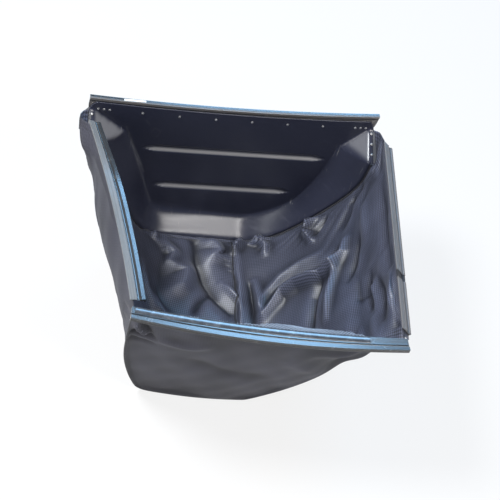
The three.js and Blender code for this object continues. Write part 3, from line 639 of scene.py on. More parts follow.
def outline_points(sides, seam_x):
    """Points and outward directions from the right mouth end, over the bottom, to the left mouth end."""
    right = evenly(smooth_curve(sides[0]), SIDE_STEPS)
    left = evenly(smooth_curve(sides[1]), SIDE_STEPS)
    share = (right[-1, 0] - seam_x) / (right[-1, 0] - left[0, 0])
    seam = right[-1] + (left[0] - right[-1]) * share
    to_seam = evenly([right[-1], seam], RIGHT_STEPS)[1:]
    from_seam = evenly([seam, left[0]], LEFT_STEPS)[1:]
    line = smoothed(np.concatenate([right, to_seam, from_seam, left[1:]]), 12)
    heading = np.gradient(line, axis=0)
    heading = smoothed(heading / np.linalg.norm(heading, axis=1, keepdims=True), 6)
    outward = np.stack([-heading[:, 1], heading[:, 0]], axis=1)
    outward[0], outward[-1] = (1.0, 0.0), (-1.0, 0.0)
    return line, outward / np.linalg.norm(outward, axis=1, keepdims=True)


crease_line, _ = outline_points(crease_sides, FLOOR_SEAM_X["panel"])
rim_line, rim_out = outline_points(rim_sides, FLOOR_SEAM_X["panel"])
front_line, front_out = outline_points(front_sides, FLOOR_SEAM_X["front"])
print("outline points:", len(rim_line))

# %% [markdown]
# ## Drawn panel
# The real panel is one sheet, drawn over a mould: a flat face with two ribs pressed into it, a sloping wall
# round it, slanted flares in its top corners and a flange for the fabric. A height field suits that. The plain
# facets of the form are read off at every point of a fine grid, then softened, as the mould's radii do.


# %% Depth of the drawn form
DRAWN_AT_MOUTH, DRAWN_AT_BOTTOM = 77.0, 50.0
RIM_TOP = 0.8555 * BAG_HEIGHT
SLANT_TOP = BAG_HEIGHT - 25.0
HALF_WIDTH = 351.0


def smooth_step(value, low, high):
    t = np.clip((value - low) / (high - low), 0.0, 1.0)
    return t * t * (3 - 2 * t)


def drawn_depth(height):
    return DRAWN_AT_BOTTOM + (DRAWN_AT_MOUTH - DRAWN_AT_BOTTOM) * np.asarray(height) / RIM_TOP


def panel_facets():
    """Rows of three points, inner, middle and outer, as x, height and depth, from mouth to mouth."""

    def corner(sign):
        rows = ((BAG_HEIGHT, (312, 324, 333)), (BAG_HEIGHT - 9, (324, 333, 342)), (SLANT_TOP, (336, 339, 348)))
        return [[(sign * x, z, 0.0) for x in places] for z, places in rows]

    wall = []
    for (cx, cz), (rx, rz), (ox, oz) in zip(crease_line, rim_line, rim_out):
        deep = float(drawn_depth(rz))
        foot = (rz + oz * LIP_WIDTH) * (1 - smooth_step(-oz, 0.75, 0.97) * (1 - smooth_step(-rx, 70.0, 150.0)))
        wall.append([(cx, cz, 0.0), (rx, rz, deep), (rx + ox * LIP_WIDTH, foot, deep)])
    return np.array(corner(1) + wall + corner(-1)[::-1])


def read_off(rows, x, z):
    """Depth of the faceted form at each x and z. The flat face inside it is 0."""
    depth = np.zeros_like(x)
    first, second = rows[:-1], rows[1:]
    for i in range(2):
        quads = zip(first[:, i], first[:, i + 1], second[:, i + 1], second[:, i])
        for a, b, c, d in quads:
            for p, q, r in ((a, b, c), (a, c, d)):
                base = (q[0] - p[0]) * (r[1] - p[1]) - (r[0] - p[0]) * (q[1] - p[1])
                if abs(base) < 1e-6:
                    continue
                s = ((x - p[0]) * (r[1] - p[1]) - (r[0] - p[0]) * (z - p[1])) / base
                t = ((q[0] - p[0]) * (z - p[1]) - (x - p[0]) * (q[1] - p[1])) / base
                inside = (s >= -0.02) & (t >= -0.02) & (s + t <= 1.02)
                depth[inside] = (p[2] + s * (q[2] - p[2]) + t * (r[2] - p[2]))[inside]
    return depth


def soften(values, times):
    for _ in range(times):
        for axis in (0, 1):
            padded = np.pad(values, [(1, 1) if a == axis else (0, 0) for a in (0, 1)], mode="edge")
            low, mid, high = (np.take(padded, range(i, i + values.shape[axis]), axis=axis) for i in range(3))
            values = (low + 2 * mid + high) / 4
    return values


# %% Strokes, for scratches and for folds
STROKE_DEPTH = 30.0


def stroke_weight(points, line, width, normals=None):
    """Strength of a stroke at each point, from 0 far off to 1 on its line, with both of its ends faded.

    With the surface's normals, the first STROKE_DEPTH mm between the line and the surface don't count.
    """
    best = np.full(points.shape[:2], 1e9)
    place = np.zeros(points.shape[:2])
    lengths = [math.dist(a, b) for a, b in zip(line, line[1:])]
    passed, total = 0.0, sum(lengths)
    for a, b, length in zip(line, line[1:], lengths):
        a, b = np.array(a, float), np.array(b, float)
        share = np.clip(((points - a) @ (b - a)) / length**2, 0.0, 1.0)
        gap = points - a - share[..., None] * (b - a)
        if normals is not None:
            deep = (gap * normals).sum(axis=2, keepdims=True)
            gap = gap - normals * np.clip(deep, -STROKE_DEPTH, STROKE_DEPTH)
        away = np.linalg.norm(gap, axis=2)
        closer = away < best
        best = np.where(closer, away, best)
        place = np.where(closer, (passed + share * length) / total, place)
        passed += length
    fade = np.sin(math.pi * np.clip(0.12 + 0.76 * place, 0.0, 1.0)) ** 0.8
    return np.exp(-((best / width) ** 1.5)) * fade


SCRATCHES = [
    (0.8, [(-251, 363), (-229, 311), (-199, 241), (-171, 175), (-135, 92)]),
    (0.7, [(-240, 343), (-217, 291), (-187, 231), (-173, 198)]),
    (0.6, [(-206, 259), (-190, 230), (-176, 201)]),
    (0.35, [(-190, 344), (-182, 363), (-166, 354), (-170, 332), (-186, 338)]),
    (0.4, [(-210, 392), (-196, 373)]),
]

# %% The panel's grid, ribs and thickness
PANEL_ROWS, PANEL_COLUMNS = 172, 250
RIBS = ((0.665, -197.0, 262.0), (0.358, -142.0, 208.0))
RIB_DEPTH, RIB_MOUTH, RIB_FLOOR, RIB_TAPER = 8.0, 12.5, 4.0, 34.0
PANEL_THICKNESS, TOP_BOW = 2.6, 6.0
FLARE_FOOT = 0.7798


def rib_press(x, z):
    """How deep the two ribs press the face backwards."""
    pressed = np.zeros_like(x)
    for height, start, end in RIBS:
        from_ends = np.minimum(x - start, end - x)
        share = np.clip(from_ends / RIB_TAPER, 0.0, 1.0) ** 0.7
        wide, narrow = RIB_MOUTH * share + 1e-3, RIB_FLOOR * share
        side = np.clip((wide - np.abs(z - height * BAG_HEIGHT)) / (wide - narrow), 0.0, 1.0)
        pressed += RIB_DEPTH * share * side * side * (3 - 2 * side) * (from_ends > 0)
    return pressed


def top_bow(x):
    """How far the panel's top edge bows into the bag, with its rail."""
    return TOP_BOW * (1 - (np.asarray(x) / HALF_WIDTH) ** 2)


def build_panel():
    rows = panel_facets()
    outer = rows[:, 2]
    middle = len(outer) // 2
    right, left = outer[: middle + 1][::-1], outer[middle:]
    z_levels = np.linspace(0.0, BAG_HEIGHT, PANEL_ROWS)
    x_right = np.interp(z_levels, np.maximum.accumulate(right[:, 1]), right[:, 0])
    x_left = np.interp(z_levels, np.maximum.accumulate(left[:, 1]), left[:, 0])
    bottom = np.abs(outer[:, 1] - outer[:, 1].min()) < 1.5
    x_right[0], x_left[0] = outer[bottom, 0].max(), outer[bottom, 0].min()
    share = np.linspace(0.0, 1.0, PANEL_COLUMNS)
    x = x_left[:, None] + (x_right - x_left)[:, None] * share[None, :]
    z = np.repeat(z_levels[:, None], PANEL_COLUMNS, axis=1)
    formed = read_off(rows, x, z)
    low_wall = 1 - smooth_step(z, 90.0, 150.0)
    depth, round_corner = soften(formed, 2), soften(formed, 60)
    depth = depth * (1 - low_wall) + soften(formed, 7) * low_wall
    corner = smooth_step(-x, -60.0, 150.0) * (1 - smooth_step(z, 90.0, 190.0)) * smooth_step(z, 26.0, 54.0)
    depth = depth * (1 - corner) + round_corner * corner
    y = PANEL_FACE - depth + soften(rib_press(x, z), 1) - top_bow(x) * smooth_step(z, 200.0, BAG_HEIGHT)
    z_bowed = z - 5.0 * top_bow(x) / TOP_BOW * smooth_step(z, 340.0, BAG_HEIGHT)
    grid = placed(np.stack([x, y, z_bowed], axis=2))
    inside = placed([0.0, -400.0, 260.0])
    thickness = PANEL_THICKNESS * MILLIMETRE
    piece = sheet_from_grid("drawn_panel", grid, thickness, inside, [panel_finish, panel_finish], -1.3 * MILLIMETRE)
    bend = np.abs(depth - soften(depth, 6))
    scuffed = np.clip(soften(bend, 3) / 1.1, 0.0, 1.0)
    # Painted paleness on the corner flares: partly whitened plastic, partly painted reflection. The right one gets
    # less, as the key light from the left already brightens it.
    flare_paleness_and_highlight = ((z > 0.79 * BAG_HEIGHT) & (depth > 2.5) & (np.abs(x) < 332.0)).astype(float)
    above = z - FLARE_FOOT * BAG_HEIGHT - (np.abs(x) - 266.0) * 0.52
    flare_paleness_and_highlight = soften(flare_paleness_and_highlight * np.clip(above / 4.0, 0.0, 1.0), 1) * np.where(x > 0, 0.26, 0.42)
    pressed = rib_press(x, z)
    # A painted highlight along the lower flank of each rib, carried in the same painted number.
    rib_flank_highlight = sum(np.exp(-(((z - height * BAG_HEIGHT + 7.0) / 3.2) ** 2)) for height, _, _ in RIBS)
    flare_paleness_and_highlight = np.maximum(flare_paleness_and_highlight, rib_flank_highlight * np.clip(pressed, 0.0, 1.0))
    face = np.stack([x, z], axis=2)
    marks = sum(strength * stroke_weight(face, line, 1.5) for strength, line in SCRATCHES)
    paint(piece, "scratch", np.tile(np.clip(marks, 0.0, 1.0).ravel(), 2))
    paint(piece, "crease_wear", np.tile(scuffed.ravel(), 2))
    paint(piece, "flare_paleness_and_highlight", np.tile(flare_paleness_and_highlight.ravel(), 2))
    return carried(piece, "panel", "plastic_panel")


drawn_panel = build_panel()

# %% [markdown]
# ## Clip rails
# Each rail is one extruded section: a flat flange that is sewn or riveted to the bag, a trough that snaps over
# the mower's steel frame, and a ribbed lip. An extrusion is a section carried along a path, so one function
# draws the section and the sweep does the rest. The right rail is rolled outwards and comes in two pieces.


# %% Section of a rail
def rail_section(flange, trough, lip):
    shoulder, step, rise, lip_height, lip_drop, bevel = 1.6, 0.4, 0.8, 1.6, 9.0, 0.7
    trough_depth, wall = 2.2, 2.2
    lip_start = flange + trough + shoulder
    width = lip_start + lip
    points = [(0.0, -FLANGE), (0.0, -0.5), (0.5, 0.0)]
    for groove in np.arange(3.0, flange - 2.0, 3.1):
        points += [(groove - 0.35, 0.0), (groove, -0.35), (groove + 0.35, 0.0)]
    points += [(flange, 0.0), (flange + step, rise)]
    for t in np.linspace(0.0, 1.0, 15):
        points.append(
            (
                flange + shoulder - step + trough * t,
                rise - (trough_depth + rise) * math.sin(math.pi * t) ** 0.6,
            )
        )
    points += [(lip_start, lip_height), (width - bevel, lip_height), (width, lip_height - bevel)]
    v = lip_height - 2.4
    while v - 1.3 > 1.0 - lip_drop:
        points += [(width, v), (width + 0.7, v - 0.3), (width + 0.7, v - 1.3), (width, v - 1.6)]
        v -= 2.9
    points += [(width, -lip_drop), (width - wall, -lip_drop), (width - wall, -trough_depth - wall)]
    points += [(flange + shoulder, -trough_depth - wall), (flange, -FLANGE)]
    kept = [points[0]]
    for point in points[1:]:
        if math.dist(point, kept[-1]) > 1e-4:
            kept.append(point)
    return kept


# %% Paths of the rails
def rail_frames(start, end, outwards, roll=0.0, bow=0.0, steps=1, end_roll=None):
    """Frames along a rail. `outwards` points from the flange's free edge to the lip, and `roll` lowers the lip."""
    end_roll = roll if end_roll is None else end_roll
    start, end, outwards = (np.asarray(v, float) for v in (start, end, outwards))
    share = np.linspace(0.0, 1.0, steps + 1)
    points = start + (end - start) * share[:, None] + outwards * (bow * 4 * share * (1 - share))[:, None]
    frames = []
    for i, point in enumerate(points):
        along = points[min(i + 1, steps)] - points[max(i - 1, 0)]
        level = np.cross((0.0, 0.0, 1.0), along / np.linalg.norm(along))
        level /= np.linalg.norm(level)
        level = level if level @ outwards > 0 else -level
        rise = np.array([0.0, 0.0, 1.0])
        angle = roll + (end_roll - roll) * float(smooth_step(share[i], 0.0, 0.5))
        across = level * math.cos(angle) - rise * math.sin(angle)
        up = rise * math.cos(angle) + level * math.sin(angle)
        frames.append((placed(point), across, up))
    return frames


FRONT_LEFT, FRONT_RIGHT, FRONT_BOW = (-308.0, -254.0), (300.0, -311.0), 14.0
RIGHT_FAR, RIGHT_NEAR = np.array([350.0, 246.0, MOUTH_TOP + 11]), np.array([290.0, -290.0, MOUTH_TOP + 11])
RIGHT_ROLL = math.radians(42.0)
front_frames = rail_frames((*FRONT_LEFT, MOUTH_TOP), (*FRONT_RIGHT, MOUTH_TOP), (0, -1, 0), bow=FRONT_BOW, steps=48)
left_frames = rail_frames(
    (-358, 259, MOUTH_TOP), (-310, -237, MOUTH_TOP), (1, 0, 0), math.radians(26), 9.0, steps=36, end_roll=0.0
)


def right_rail_piece(start, end):
    length = np.linalg.norm(RIGHT_NEAR - RIGHT_FAR)
    ends = [RIGHT_FAR + (RIGHT_NEAR - RIGHT_FAR) * min(place / length, 1.0) for place in (start, end)]
    return rail_frames(*ends, (1, 0, 0), roll=RIGHT_ROLL, steps=12)


right_frames = right_rail_piece(0.0, math.inf)

# %% Sweep the rails
def swept_rail(name, sizes, frames, finish, node, widen=None, pale=("flange", "lip")):
    section = np.array(rail_section(*sizes))
    parts = {
        "flange": section[:, 0] < sizes[0] + 0.5,
        "trough": (section[:, 0] >= sizes[0] + 0.5) & (section[:, 0] <= sum(sizes[:2]) + 1.5),
        "lip": section[:, 0] > sum(sizes[:2]) + 1.5,
    }
    flat = (section[:, 1] > -3.0) & np.any([parts[part] for part in pale], axis=0)
    sections = np.repeat(section[None], len(frames), axis=0)
    if widen is not None:
        sections = widen(sections)
    piece = sweep(name, sections, frames, finish)
    paint(piece, "flat_face", np.tile(flat.astype(float), len(frames)))
    return carried(piece, "rail", node)


def wider_middle(sections):
    share = np.linspace(0.0, 1.0, len(sections))[:, None]
    sections[..., 0] *= 0.97 + 0.2 * np.sin(math.pi * share)
    return sections


# The right rails are painted pale all over, their trough too, which paints light where they would lie in shade.
all_pale = ("flange", "trough", "lip")
swept_rail("left_clip_rail", (14, 9, 9), left_frames, faded_rail, "left_rail", pale=("flange",))
for name, start, end, node in (
    ("right_clip_rail_far", 0, 378, "right_rail_long"),
    ("right_clip_rail_near", 398, math.inf, "right_rail_short"),
):
    swept_rail(name, (16, 11, 5), right_rail_piece(start, end), beige_rail, node, pale=all_pale)
swept_rail("front_clip_rail", (17, 4, 10), front_frames, glossy_rail, "front_rail", wider_middle)
places = HALF_WIDTH * np.sin(np.linspace(-math.pi / 2, math.pi / 2, 61))
panel_rail_frames = [
    (
        placed((x, PANEL_FACE + 3.0 - top_bow(x), 389.6 + 3.2 * x / HALF_WIDTH + 6.6 * (x / HALF_WIDTH) ** 2)),
        np.array([0, 0, 1.0]),
        np.array([0, -1.0, 0]),
    )
    for x in places
]


def panel_rail_ends(sections):
    """Rounds the flange's two lower corners, 12 mm along the rail and 40 mm up its section."""
    ends = (0.5 - np.abs(places) / (2 * HALF_WIDTH))[:, None]
    cut = 40.0 * (1 - np.sqrt(1 - np.clip(1 - ends * (2 * HALF_WIDTH) / 12.0, 0.0, 1.0) ** 2))
    up = sections[..., 0]
    sections[..., 0] = np.where(up < 41.0, cut + up * (1 - cut / 41.0), up)
    return sections


swept_rail("panel_clip_rail", (42, 3, 7), panel_rail_frames, top_rail, "panel_rail", panel_rail_ends)

# %% [markdown]
# ## Fabric strips
# Two strips run from one side of the mouth round the bottom to the other. The loft between the rim and the front
# outline gives their calm shape, and slow waves loosen it. Then Blender's cloth lets the whole strip settle under
# its own weight, held at its seams. The folds come last, on a finer grid, each as a soft ridge or hollow along a
# line. The two strips are shaped as one sheet until then, so they meet at the floor seam.


# %% Calm shape of the strips
COLUMNS, GUSSET_ROWS = 96, 10
FLOOR_LIFT = 19.0
LEFT_BILLOW, RIGHT_BILLOW = 19.0, 9.0


def front_face(x, z):
    """y of the fabric front, which is skewed with its rail and leans inwards."""
    rail = FRONT_LEFT[1] + (FRONT_RIGHT[1] - FRONT_LEFT[1]) * (x - FRONT_LEFT[0]) / (FRONT_RIGHT[0] - FRONT_LEFT[0])
    foot = 7.0 * np.exp(-z / 45.0) * np.cos(np.clip((x + 64.0) / 262.0, -0.5, 0.5) * math.pi)
    return rail - 11.0 + 0.225 * (FABRIC_TOP - z) - foot


def frame_at(frames, share):
    place = share * (len(frames) - 1)
    i = min(int(place), len(frames) - 2)
    point = frames[i][0] + (frames[i + 1][0] - frames[i][0]) * (place - i)
    return point, frames[i][1], frames[i][2]


def calm_strips():
    """Rows from the panel's flange to the front, taken round the bottom from the right rail to the left."""
    v = np.linspace(0.0, 1.0, COLUMNS)[None, :, None]
    tuck = np.where(np.abs(rim_out[:, 0]) < 0.6, 1.5, LIP_WIDTH / 2)[:, None]
    lip = rim_line + rim_out * tuck
    gap = np.where(np.abs(rim_out[:, 0]) < 0.6, 1.6, 6.0)
    far = np.stack([lip[:, 0], PANEL_FACE - drawn_depth(rim_line[:, 1]) - gap, lip[:, 1]], axis=1)
    near = np.stack([front_line[:, 0], front_face(*front_line.T) + 3.8, front_line[:, 1]], axis=1)
    share = np.linspace(0.0, 1.0, GUSSET_ROWS, endpoint=False)[:, None]
    for sign, at_end in ((1.0, False), (-1.0, True)):
        slant = np.array([sign * 349.0, PANEL_FACE - 2.0, BAG_HEIGHT - 27.0]) * (1 - share)
        slant = slant + np.array([sign * 349.0, PANEL_FACE - DRAWN_AT_MOUTH - 4.0, RIM_TOP - 2.0]) * share
        corner = near[-1 if at_end else 0] + (1 - share) * (0.0, 0.0, 3.0)
        far = np.concatenate([far, slant[::-1]] if at_end else [slant, far])
        near = np.concatenate([near, corner[::-1]] if at_end else [corner, near])
    grid = smoothed(far, 4)[:, None] * (1 - v) + near[:, None] * v
    slack = np.sin(math.pi * v[..., 0])
    height = grid[..., 2]
    wall = smooth_step(height, 40.0, 220.0)
    belly = 13.0 * slack * np.sin(math.pi * np.clip((FABRIC_TOP - height) / 260.0, 0.0, 1.0))
    out = np.concatenate([np.ones(GUSSET_ROWS), rim_out[:, 0], -np.ones(GUSSET_ROWS)])
    side = (np.sign(out) * np.minimum(np.abs(out) * 3, 1.0))[:, None]
    billow = np.sin(math.pi * np.clip((FABRIC_TOP - height) / 150.0, 0.0, 1.0)) ** 0.7
    billow = billow * np.minimum(v[..., 0] / 0.06, 1.0) * np.minimum((1 - v[..., 0]) / 0.1, 1.0)
    belly = belly + np.where(side < 0, LEFT_BILLOW - 12.0 * v[..., 0], RIGHT_BILLOW) * billow
    grid[..., 0] += side * belly
    grid[..., 2] = np.maximum(height + FLOOR_LIFT * slack**0.5 * (1 - wall), LOWEST_CLOTH)
    return grid


def hang_from_rail(grid, frames, under, sign):
    """Pulls the top rows up to the edge that runs from the panel's corner to the rail, and along under it."""
    corner_share, pulled_rows = 0.11, 26
    v = np.linspace(0.0, 1.0, COLUMNS)
    edge = []
    for share in v:
        along = 0.02 + 0.965 * max(share - corner_share, 0.0) / (1 - corner_share)
        point, across, up = frame_at(frames, along)
        at = point / MILLIMETRE - BAG_OFFSET + across * 8.0 - up * under
        if share < corner_share:
            at = grid[0, 0] + (at - grid[0, 0]) * share / corner_share
        edge.append(at)
    edge = np.array(edge)
    edge[-4:] = edge[-4] + (grid[0, -1] - edge[-4]) * np.linspace(0.0, 1.0, 4)[:, None]
    bulge = 9.0 if sign > 0 else 23.0
    edge[:, 0] += sign * bulge * np.exp(-(((v - 0.055) / 0.045) ** 2)) * np.minimum(v / 0.02, 1.0)
    edge[:, 2] += 6.0 * np.exp(-(((v - 0.025) / 0.02) ** 2)) * np.minimum(v / 0.01, 1.0)
    pull = edge - grid[0]
    for i in range(pulled_rows):
        grid[i] += pull * (1 - smooth_step(i / pulled_rows, 0.0, 1.0))
    return grid


strips = calm_strips()
strips = hang_from_rail(strips, right_frames, 3.5, 1.0)
strips = hang_from_rail(strips[::-1], left_frames, 2.9, -1.0)[::-1]
SEAM_ROW += GUSSET_ROWS
print("strip grid:", strips.shape[:2])

# %% [markdown]
# The folds are drawn the way a sculptor would: as strokes on the cloth. Each stroke has a height, a width and a
# line in millimetres of the frame. Negative heights are hollows. Every stroke fades out at both of its ends. The
# first use below adds only the slow waves; the strokes wait until the cloth has settled.

# %% Folds as strokes
FOLD_DEPTH = 1.5
FOLDS = [
    (
        22,
        13,
        [(289, 107, 248), (279, 76, 245), (262, 52, 223), (234, 48, 178), (203, 61, 121), (171, 55, 85), (125, 5, 52)],
    ),
    (10, 15, [(246, 127, 166), (213, 123, 119), (178, 108, 79), (148, 77, 52), (126, 43, 41)]),
    (-10, 11, [(273, 107, 218), (250, 86, 189), (217, 84, 135), (182, 79, 95)]),
    (13, 11, [(262, 60, 225), (258, 36, 225), (244, -3, 218), (231, -44, 213), (221, -100, 211)]),
    (-11, 13, [(240, 60, 190), (235, 34, 185), (216, -5, 169), (201, -55, 165), (190, -110, 165)]),
    (4, 6, [(279, -58, 328), (270, -106, 342), (258, -154, 351)]),
    (12, 19, [(301, -110, 420), (301, -138, 427), (287, -186, 418), (281, -241, 425)]),
    (-10, 17, [(290, -60, 350), (283, -113, 372), (276, -164, 385), (270, -213, 397)]),
    (17, 9, [(285, 262, 160), (272, 252, 148), (258, 243, 136), (246, 217, 127), (248, 182, 146)]),
    (-8, 8, [(281, 232, 177), (263, 212, 156), (253, 194, 146)]),
    (18, 9, [(112, 262, 8), (108, 250, 10), (90, 235, 8), (82, 222, 8)]),
    (16, 9, [(140, 262, 14), (160, 243, 29), (172, 222, 36), (166, 205, 34)]),
    (16, 17, [(18, 262, 7), (33, 245, 7), (40, 225, 7), (21, 208, 6), (55, 210, 6)]),
    (-17, 19, [(-15, 262, 10), (-17, 189, 10), (-5, 133, 12), (20, 75, 18), (46, 40, 12)]),
    (-10, 10, [(-4, 90, 19), (-27, 63, 15), (-41, 40, 12)]),
    (-10, 10, [(115, 110, 17), (111, 40, 26), (106, 0, 26)]),
    (12, 12, [(-105, 238, 8), (-95, 224, 8), (-77, 203, 9), (-90, 183, 10)]),
    (10, 8, [(-155, 258, 37), (-136, 248, 18), (-122, 233, 6), (-112, 215, 6)]),
    (13, 19, [(-100, 175, 12), (-78, 164, 12), (-50, 154, 7), (-71, 113, 11), (-101, 90, 12)]),
    (9, 15, [(94, 258, 8), (93, 183, 4), (89, 57, 4), (80, -20, 4)]),
    (12, 11, [(40, 120, 9), (56, 91, 9), (76, 55, 3)]),
    (12, 10, [(127, 120, 26), (128, 57, 38), (123, 15, 47)]),
    (12, 16, [(-150, 60, 20), (-120, 20, 12), (-60, -20, 8), (-20, -90, 8)]),
    (11, 18, [(30, -20, 8), (10, -80, 8), (-30, -140, 8)]),
    (9, 14, [(-175, 150, 70), (-165, 90, 60), (-150, 40, 40)]),
    (8, 22, [(-250, 120, 230), (-235, 20, 220), (-215, -80, 200)]),
    (-7, 26, [(-290, 180, 330), (-280, 60, 330), (-265, -60, 330)]),
    (7, 24, [(300, 190, 300), (290, 150, 320), (285, 60, 330)]),
    (-6, 14, [(305, 215, 270), (290, 190, 255), (270, 165, 235)]),
    (-9, 20, [(338, 180, 390), (332, 119, 395), (318, 20, 400), (315, -20, 403), (312, -80, 410)]),
    (-8, 13, [(292, 90, 300), (285, 60, 290), (280, 23, 276), (268, -20, 262)]),
    (-9, 13, [(272, -40, 330), (265, -90, 320), (262, -167, 350)]),
    (-8, 12, [(330, 262, 330), (318, 240, 300), (300, 225, 262)]),
    (-13, 8, [(352, 300, 405), (353, 275, 392), (350, 250, 378)]),
    (9, 6, [(362, 292, 408), (360, 265, 395), (350, 240, 375), (335, 228, 350)]),
]


SHEET_LIFT = 1.5


def gentle_waves(points):
    """Slow undulation of slack cloth, as a sum of sines with fixed phases."""
    waves = [
        (0.021, 0.013, 0.017, 0.4, 2.4),
        (-0.034, 0.022, 0.009, 1.7, 1.7),
        (0.052, -0.041, 0.033, 2.9, 1.0),
        (0.083, 0.071, -0.046, 0.9, 0.5),
    ]
    x, y, z = points[..., 0], points[..., 1], points[..., 2]
    return sum(height * np.sin(a * x + b * y + c * z + phase) for a, b, c, phase, height in waves)


def folded(grid, folds, inside, keep_edges=0.09):
    """The grid with its folds, each raised towards the inside of the bag. Without folds it gets the slow waves."""
    points = grid + BAG_OFFSET
    normals = inward_normals(grid, inside)
    rise = SHEET_LIFT + (0.0 if folds else gentle_waves(points))
    for height, width, line in folds:
        rise = rise + FOLD_DEPTH * height * stroke_weight(points, line, width, normals)
    u = np.linspace(0.0, 1.0, grid.shape[1])[None, :]
    w = np.linspace(0.0, 1.0, grid.shape[0])[:, None]
    hold = np.minimum(1.0, np.minimum(u / 0.035, (1 - u) / keep_edges))
    hold = hold * np.minimum(1.0, np.minimum(w / 0.05, (1 - w) / 0.05))
    moved = grid + normals * (rise * hold)[..., None]
    moved[..., 2] = np.maximum(moved[..., 2], LOWEST_CLOTH)
    return moved


strips = folded(strips, [], INSIDE)
print("floor reaches", round(float(strips[..., 2].min()), 2), "mm")

# %% [markdown]
# Blender's Cloth does the settling. The sheet is pinned along its seams and at the rails. The floor is a
# collision plane. Sixteen frames are enough for the cloth to slump between its seams, and each point may move
# only so far, so the cloth stays near its solid.


# %% Let the cloth settle
def settled(grid, frames=16, limit=5.0):
    rows, columns = grid.shape[:2]
    index = np.arange(rows * columns).reshape(rows, columns)
    quads = np.stack([index[:-1, :-1], index[:-1, 1:], index[1:, 1:], index[1:, :-1]], axis=-1).reshape(-1, 4)
    cloth = add_mesh("settling_cloth", placed(grid).reshape(-1, 3), quads.tolist(), [])
    held = cloth.vertex_groups.new(name="held")
    edges = np.concatenate([index[0], index[-1], index[:, 0], index[:, -1]])
    held.add([int(i) for i in np.unique(edges)], 1.0, "REPLACE")
    ground = add_mesh("settling_ground", [(-1, -1, 0), (1, -1, 0), (1, 1, 0), (-1, 1, 0)], [(0, 1, 2, 3)], [])
    ground.modifiers.new("Collision", "COLLISION")
    ground.collision.thickness_outer = 0.0006
    settings = cloth.modifiers.new("Cloth", "CLOTH")
    cloth_settings = settings.settings
    cloth_settings.quality = 5
    cloth_settings.mass = 0.12
    cloth_settings.tension_stiffness = 22.0
    cloth_settings.compression_stiffness = 22.0
    cloth_settings.shear_stiffness = 8.0
    cloth_settings.bending_stiffness = 1.6
    cloth_settings.air_damping = 4.0
    cloth_settings.vertex_group_mass = "held"
    settings.collision_settings.distance_min = 0.001
    settings.point_cache.frame_end = frames
    scene = bpy.context.scene
    for step in range(1, frames + 1):
        scene.frame_set(step)
    result = evaluated(cloth).to_mesh()
    flat = np.empty(rows * columns * 3, dtype=np.float32)
    result.vertices.foreach_get("co", flat)
    scene.frame_set(1)
    for piece in (cloth, ground):
        bpy.data.objects.remove(piece)
    moved = flat.reshape(rows, columns, 3) / MILLIMETRE - BAG_OFFSET - grid
    far = np.linalg.norm(moved, axis=2, keepdims=True)
    print("cloth moved", round(float(far.mean()), 1), "mm on average,", round(float(far.max()), 1), "at most")
    moved *= np.minimum(1.0, limit / np.maximum(far, 1e-6))
    result = grid + moved
    result[..., 2] = np.maximum(result[..., 2], LOWEST_CLOTH)
    return result


strips = settled(strips)


# %% Add the folds on a finer grid
def halfway(grid):
    """The grid with one more row between each two, on smooth curves through them."""
    padded = np.concatenate([2 * grid[:1] - grid[1:2], grid, 2 * grid[-1:] - grid[-2:-1]])
    finer = np.repeat(grid, 2, axis=0)[:-1]
    finer[1::2] = (9 * (padded[1:-2] + padded[2:-1]) - padded[:-3] - padded[3:]) / 16
    return finer


strips = halfway(halfway(strips).transpose(1, 0, 2)).transpose(1, 0, 2)
SEAM_ROW *= 2
strips = folded(strips, FOLDS, INSIDE)

# %% Close the two strips
def fold_shade_and_highlight(grid, inside):
    """From 0 in the hollows to 1 on the crests, and half where the cloth is even: painted shade in the hollows and a
    painted highlight on the crests.
    """
    even = np.stack([soften(grid[..., axis], 26) for axis in range(3)], axis=2)
    proud = ((grid - even) * inward_normals(grid, inside)).sum(axis=2)
    return np.clip(0.5 + proud / 7.0, 0.0, 1.0)


inside_point = placed(INSIDE)
right_grid, left_grid = strips[: SEAM_ROW + 1].copy(), strips[SEAM_ROW:].copy()
right_grid[-1, :, 0] += 0.3
left_grid[0, :, 0] -= 0.3
fabric_sides = [inner_fabric, outer_fabric]


def fabric_piece(name, grid, crests, node):
    """A sheet of the bag's fabric over one solid. `crests` is its painted shade and highlight at each point, from 0 in
    the hollows to 1 on the crests.
    """
    piece = sheet_from_grid(name, placed(grid), FABRIC_THICKNESS * MILLIMETRE, inside_point, fabric_sides)
    paint(piece, "fold_shade_and_highlight", np.tile(crests.ravel(), 2))
    return carried(piece, "fabric", node)


right_cloth = fabric_piece("right_fabric_strip", right_grid, fold_shade_and_highlight(right_grid, INSIDE), "right_strip_fabric")
left_cloth = fabric_piece("left_fabric_strip", left_grid, fold_shade_and_highlight(left_grid, INSIDE), "left_strip_fabric")

# %% [markdown]
# ## Fabric front
# The front is one panel of the same cloth, sewn to the strips' near edges and to the front rail. It bellies
# outwards, and near its left seam the cloth buckles into a few creases.

# %% Build the front
FRONT_COLUMNS = 110
FRONT_FOLDS = [
    (-15, 8, [(-292, -262, 408), (-283, -256, 372), (-255, -244, 330)]),
    (12, 9, [(-282, -262, 400), (-272, -256, 368), (-244, -244, 330)]),
    (12, 8, [(-300, -246, 330), (-270, -245, 322), (-235, -247, 318)]),
    (-6, 14, [(-235, -250, 318), (-180, -255, 318), (-120, -262, 322)]),
    (5, 26, [(-150, -262, 240), (-60, -262, 200), (40, -262, 180)]),
    (-5, 30, [(60, -300, 300), (120, -300, 260), (150, -290, 230)]),
    (-6, 18, [(120, -300, 345), (180, -305, 350), (230, -312, 385)]),
    (-7, 50, [(60, -290, 400), (85, -290, 250), (95, -290, 80)]),
    (5, 30, [(190, -290, 330), (200, -290, 200)]),
    (6, 7, [(-296, -246, 300), (-270, -240, 285), (-235, -240, 290)]),
]


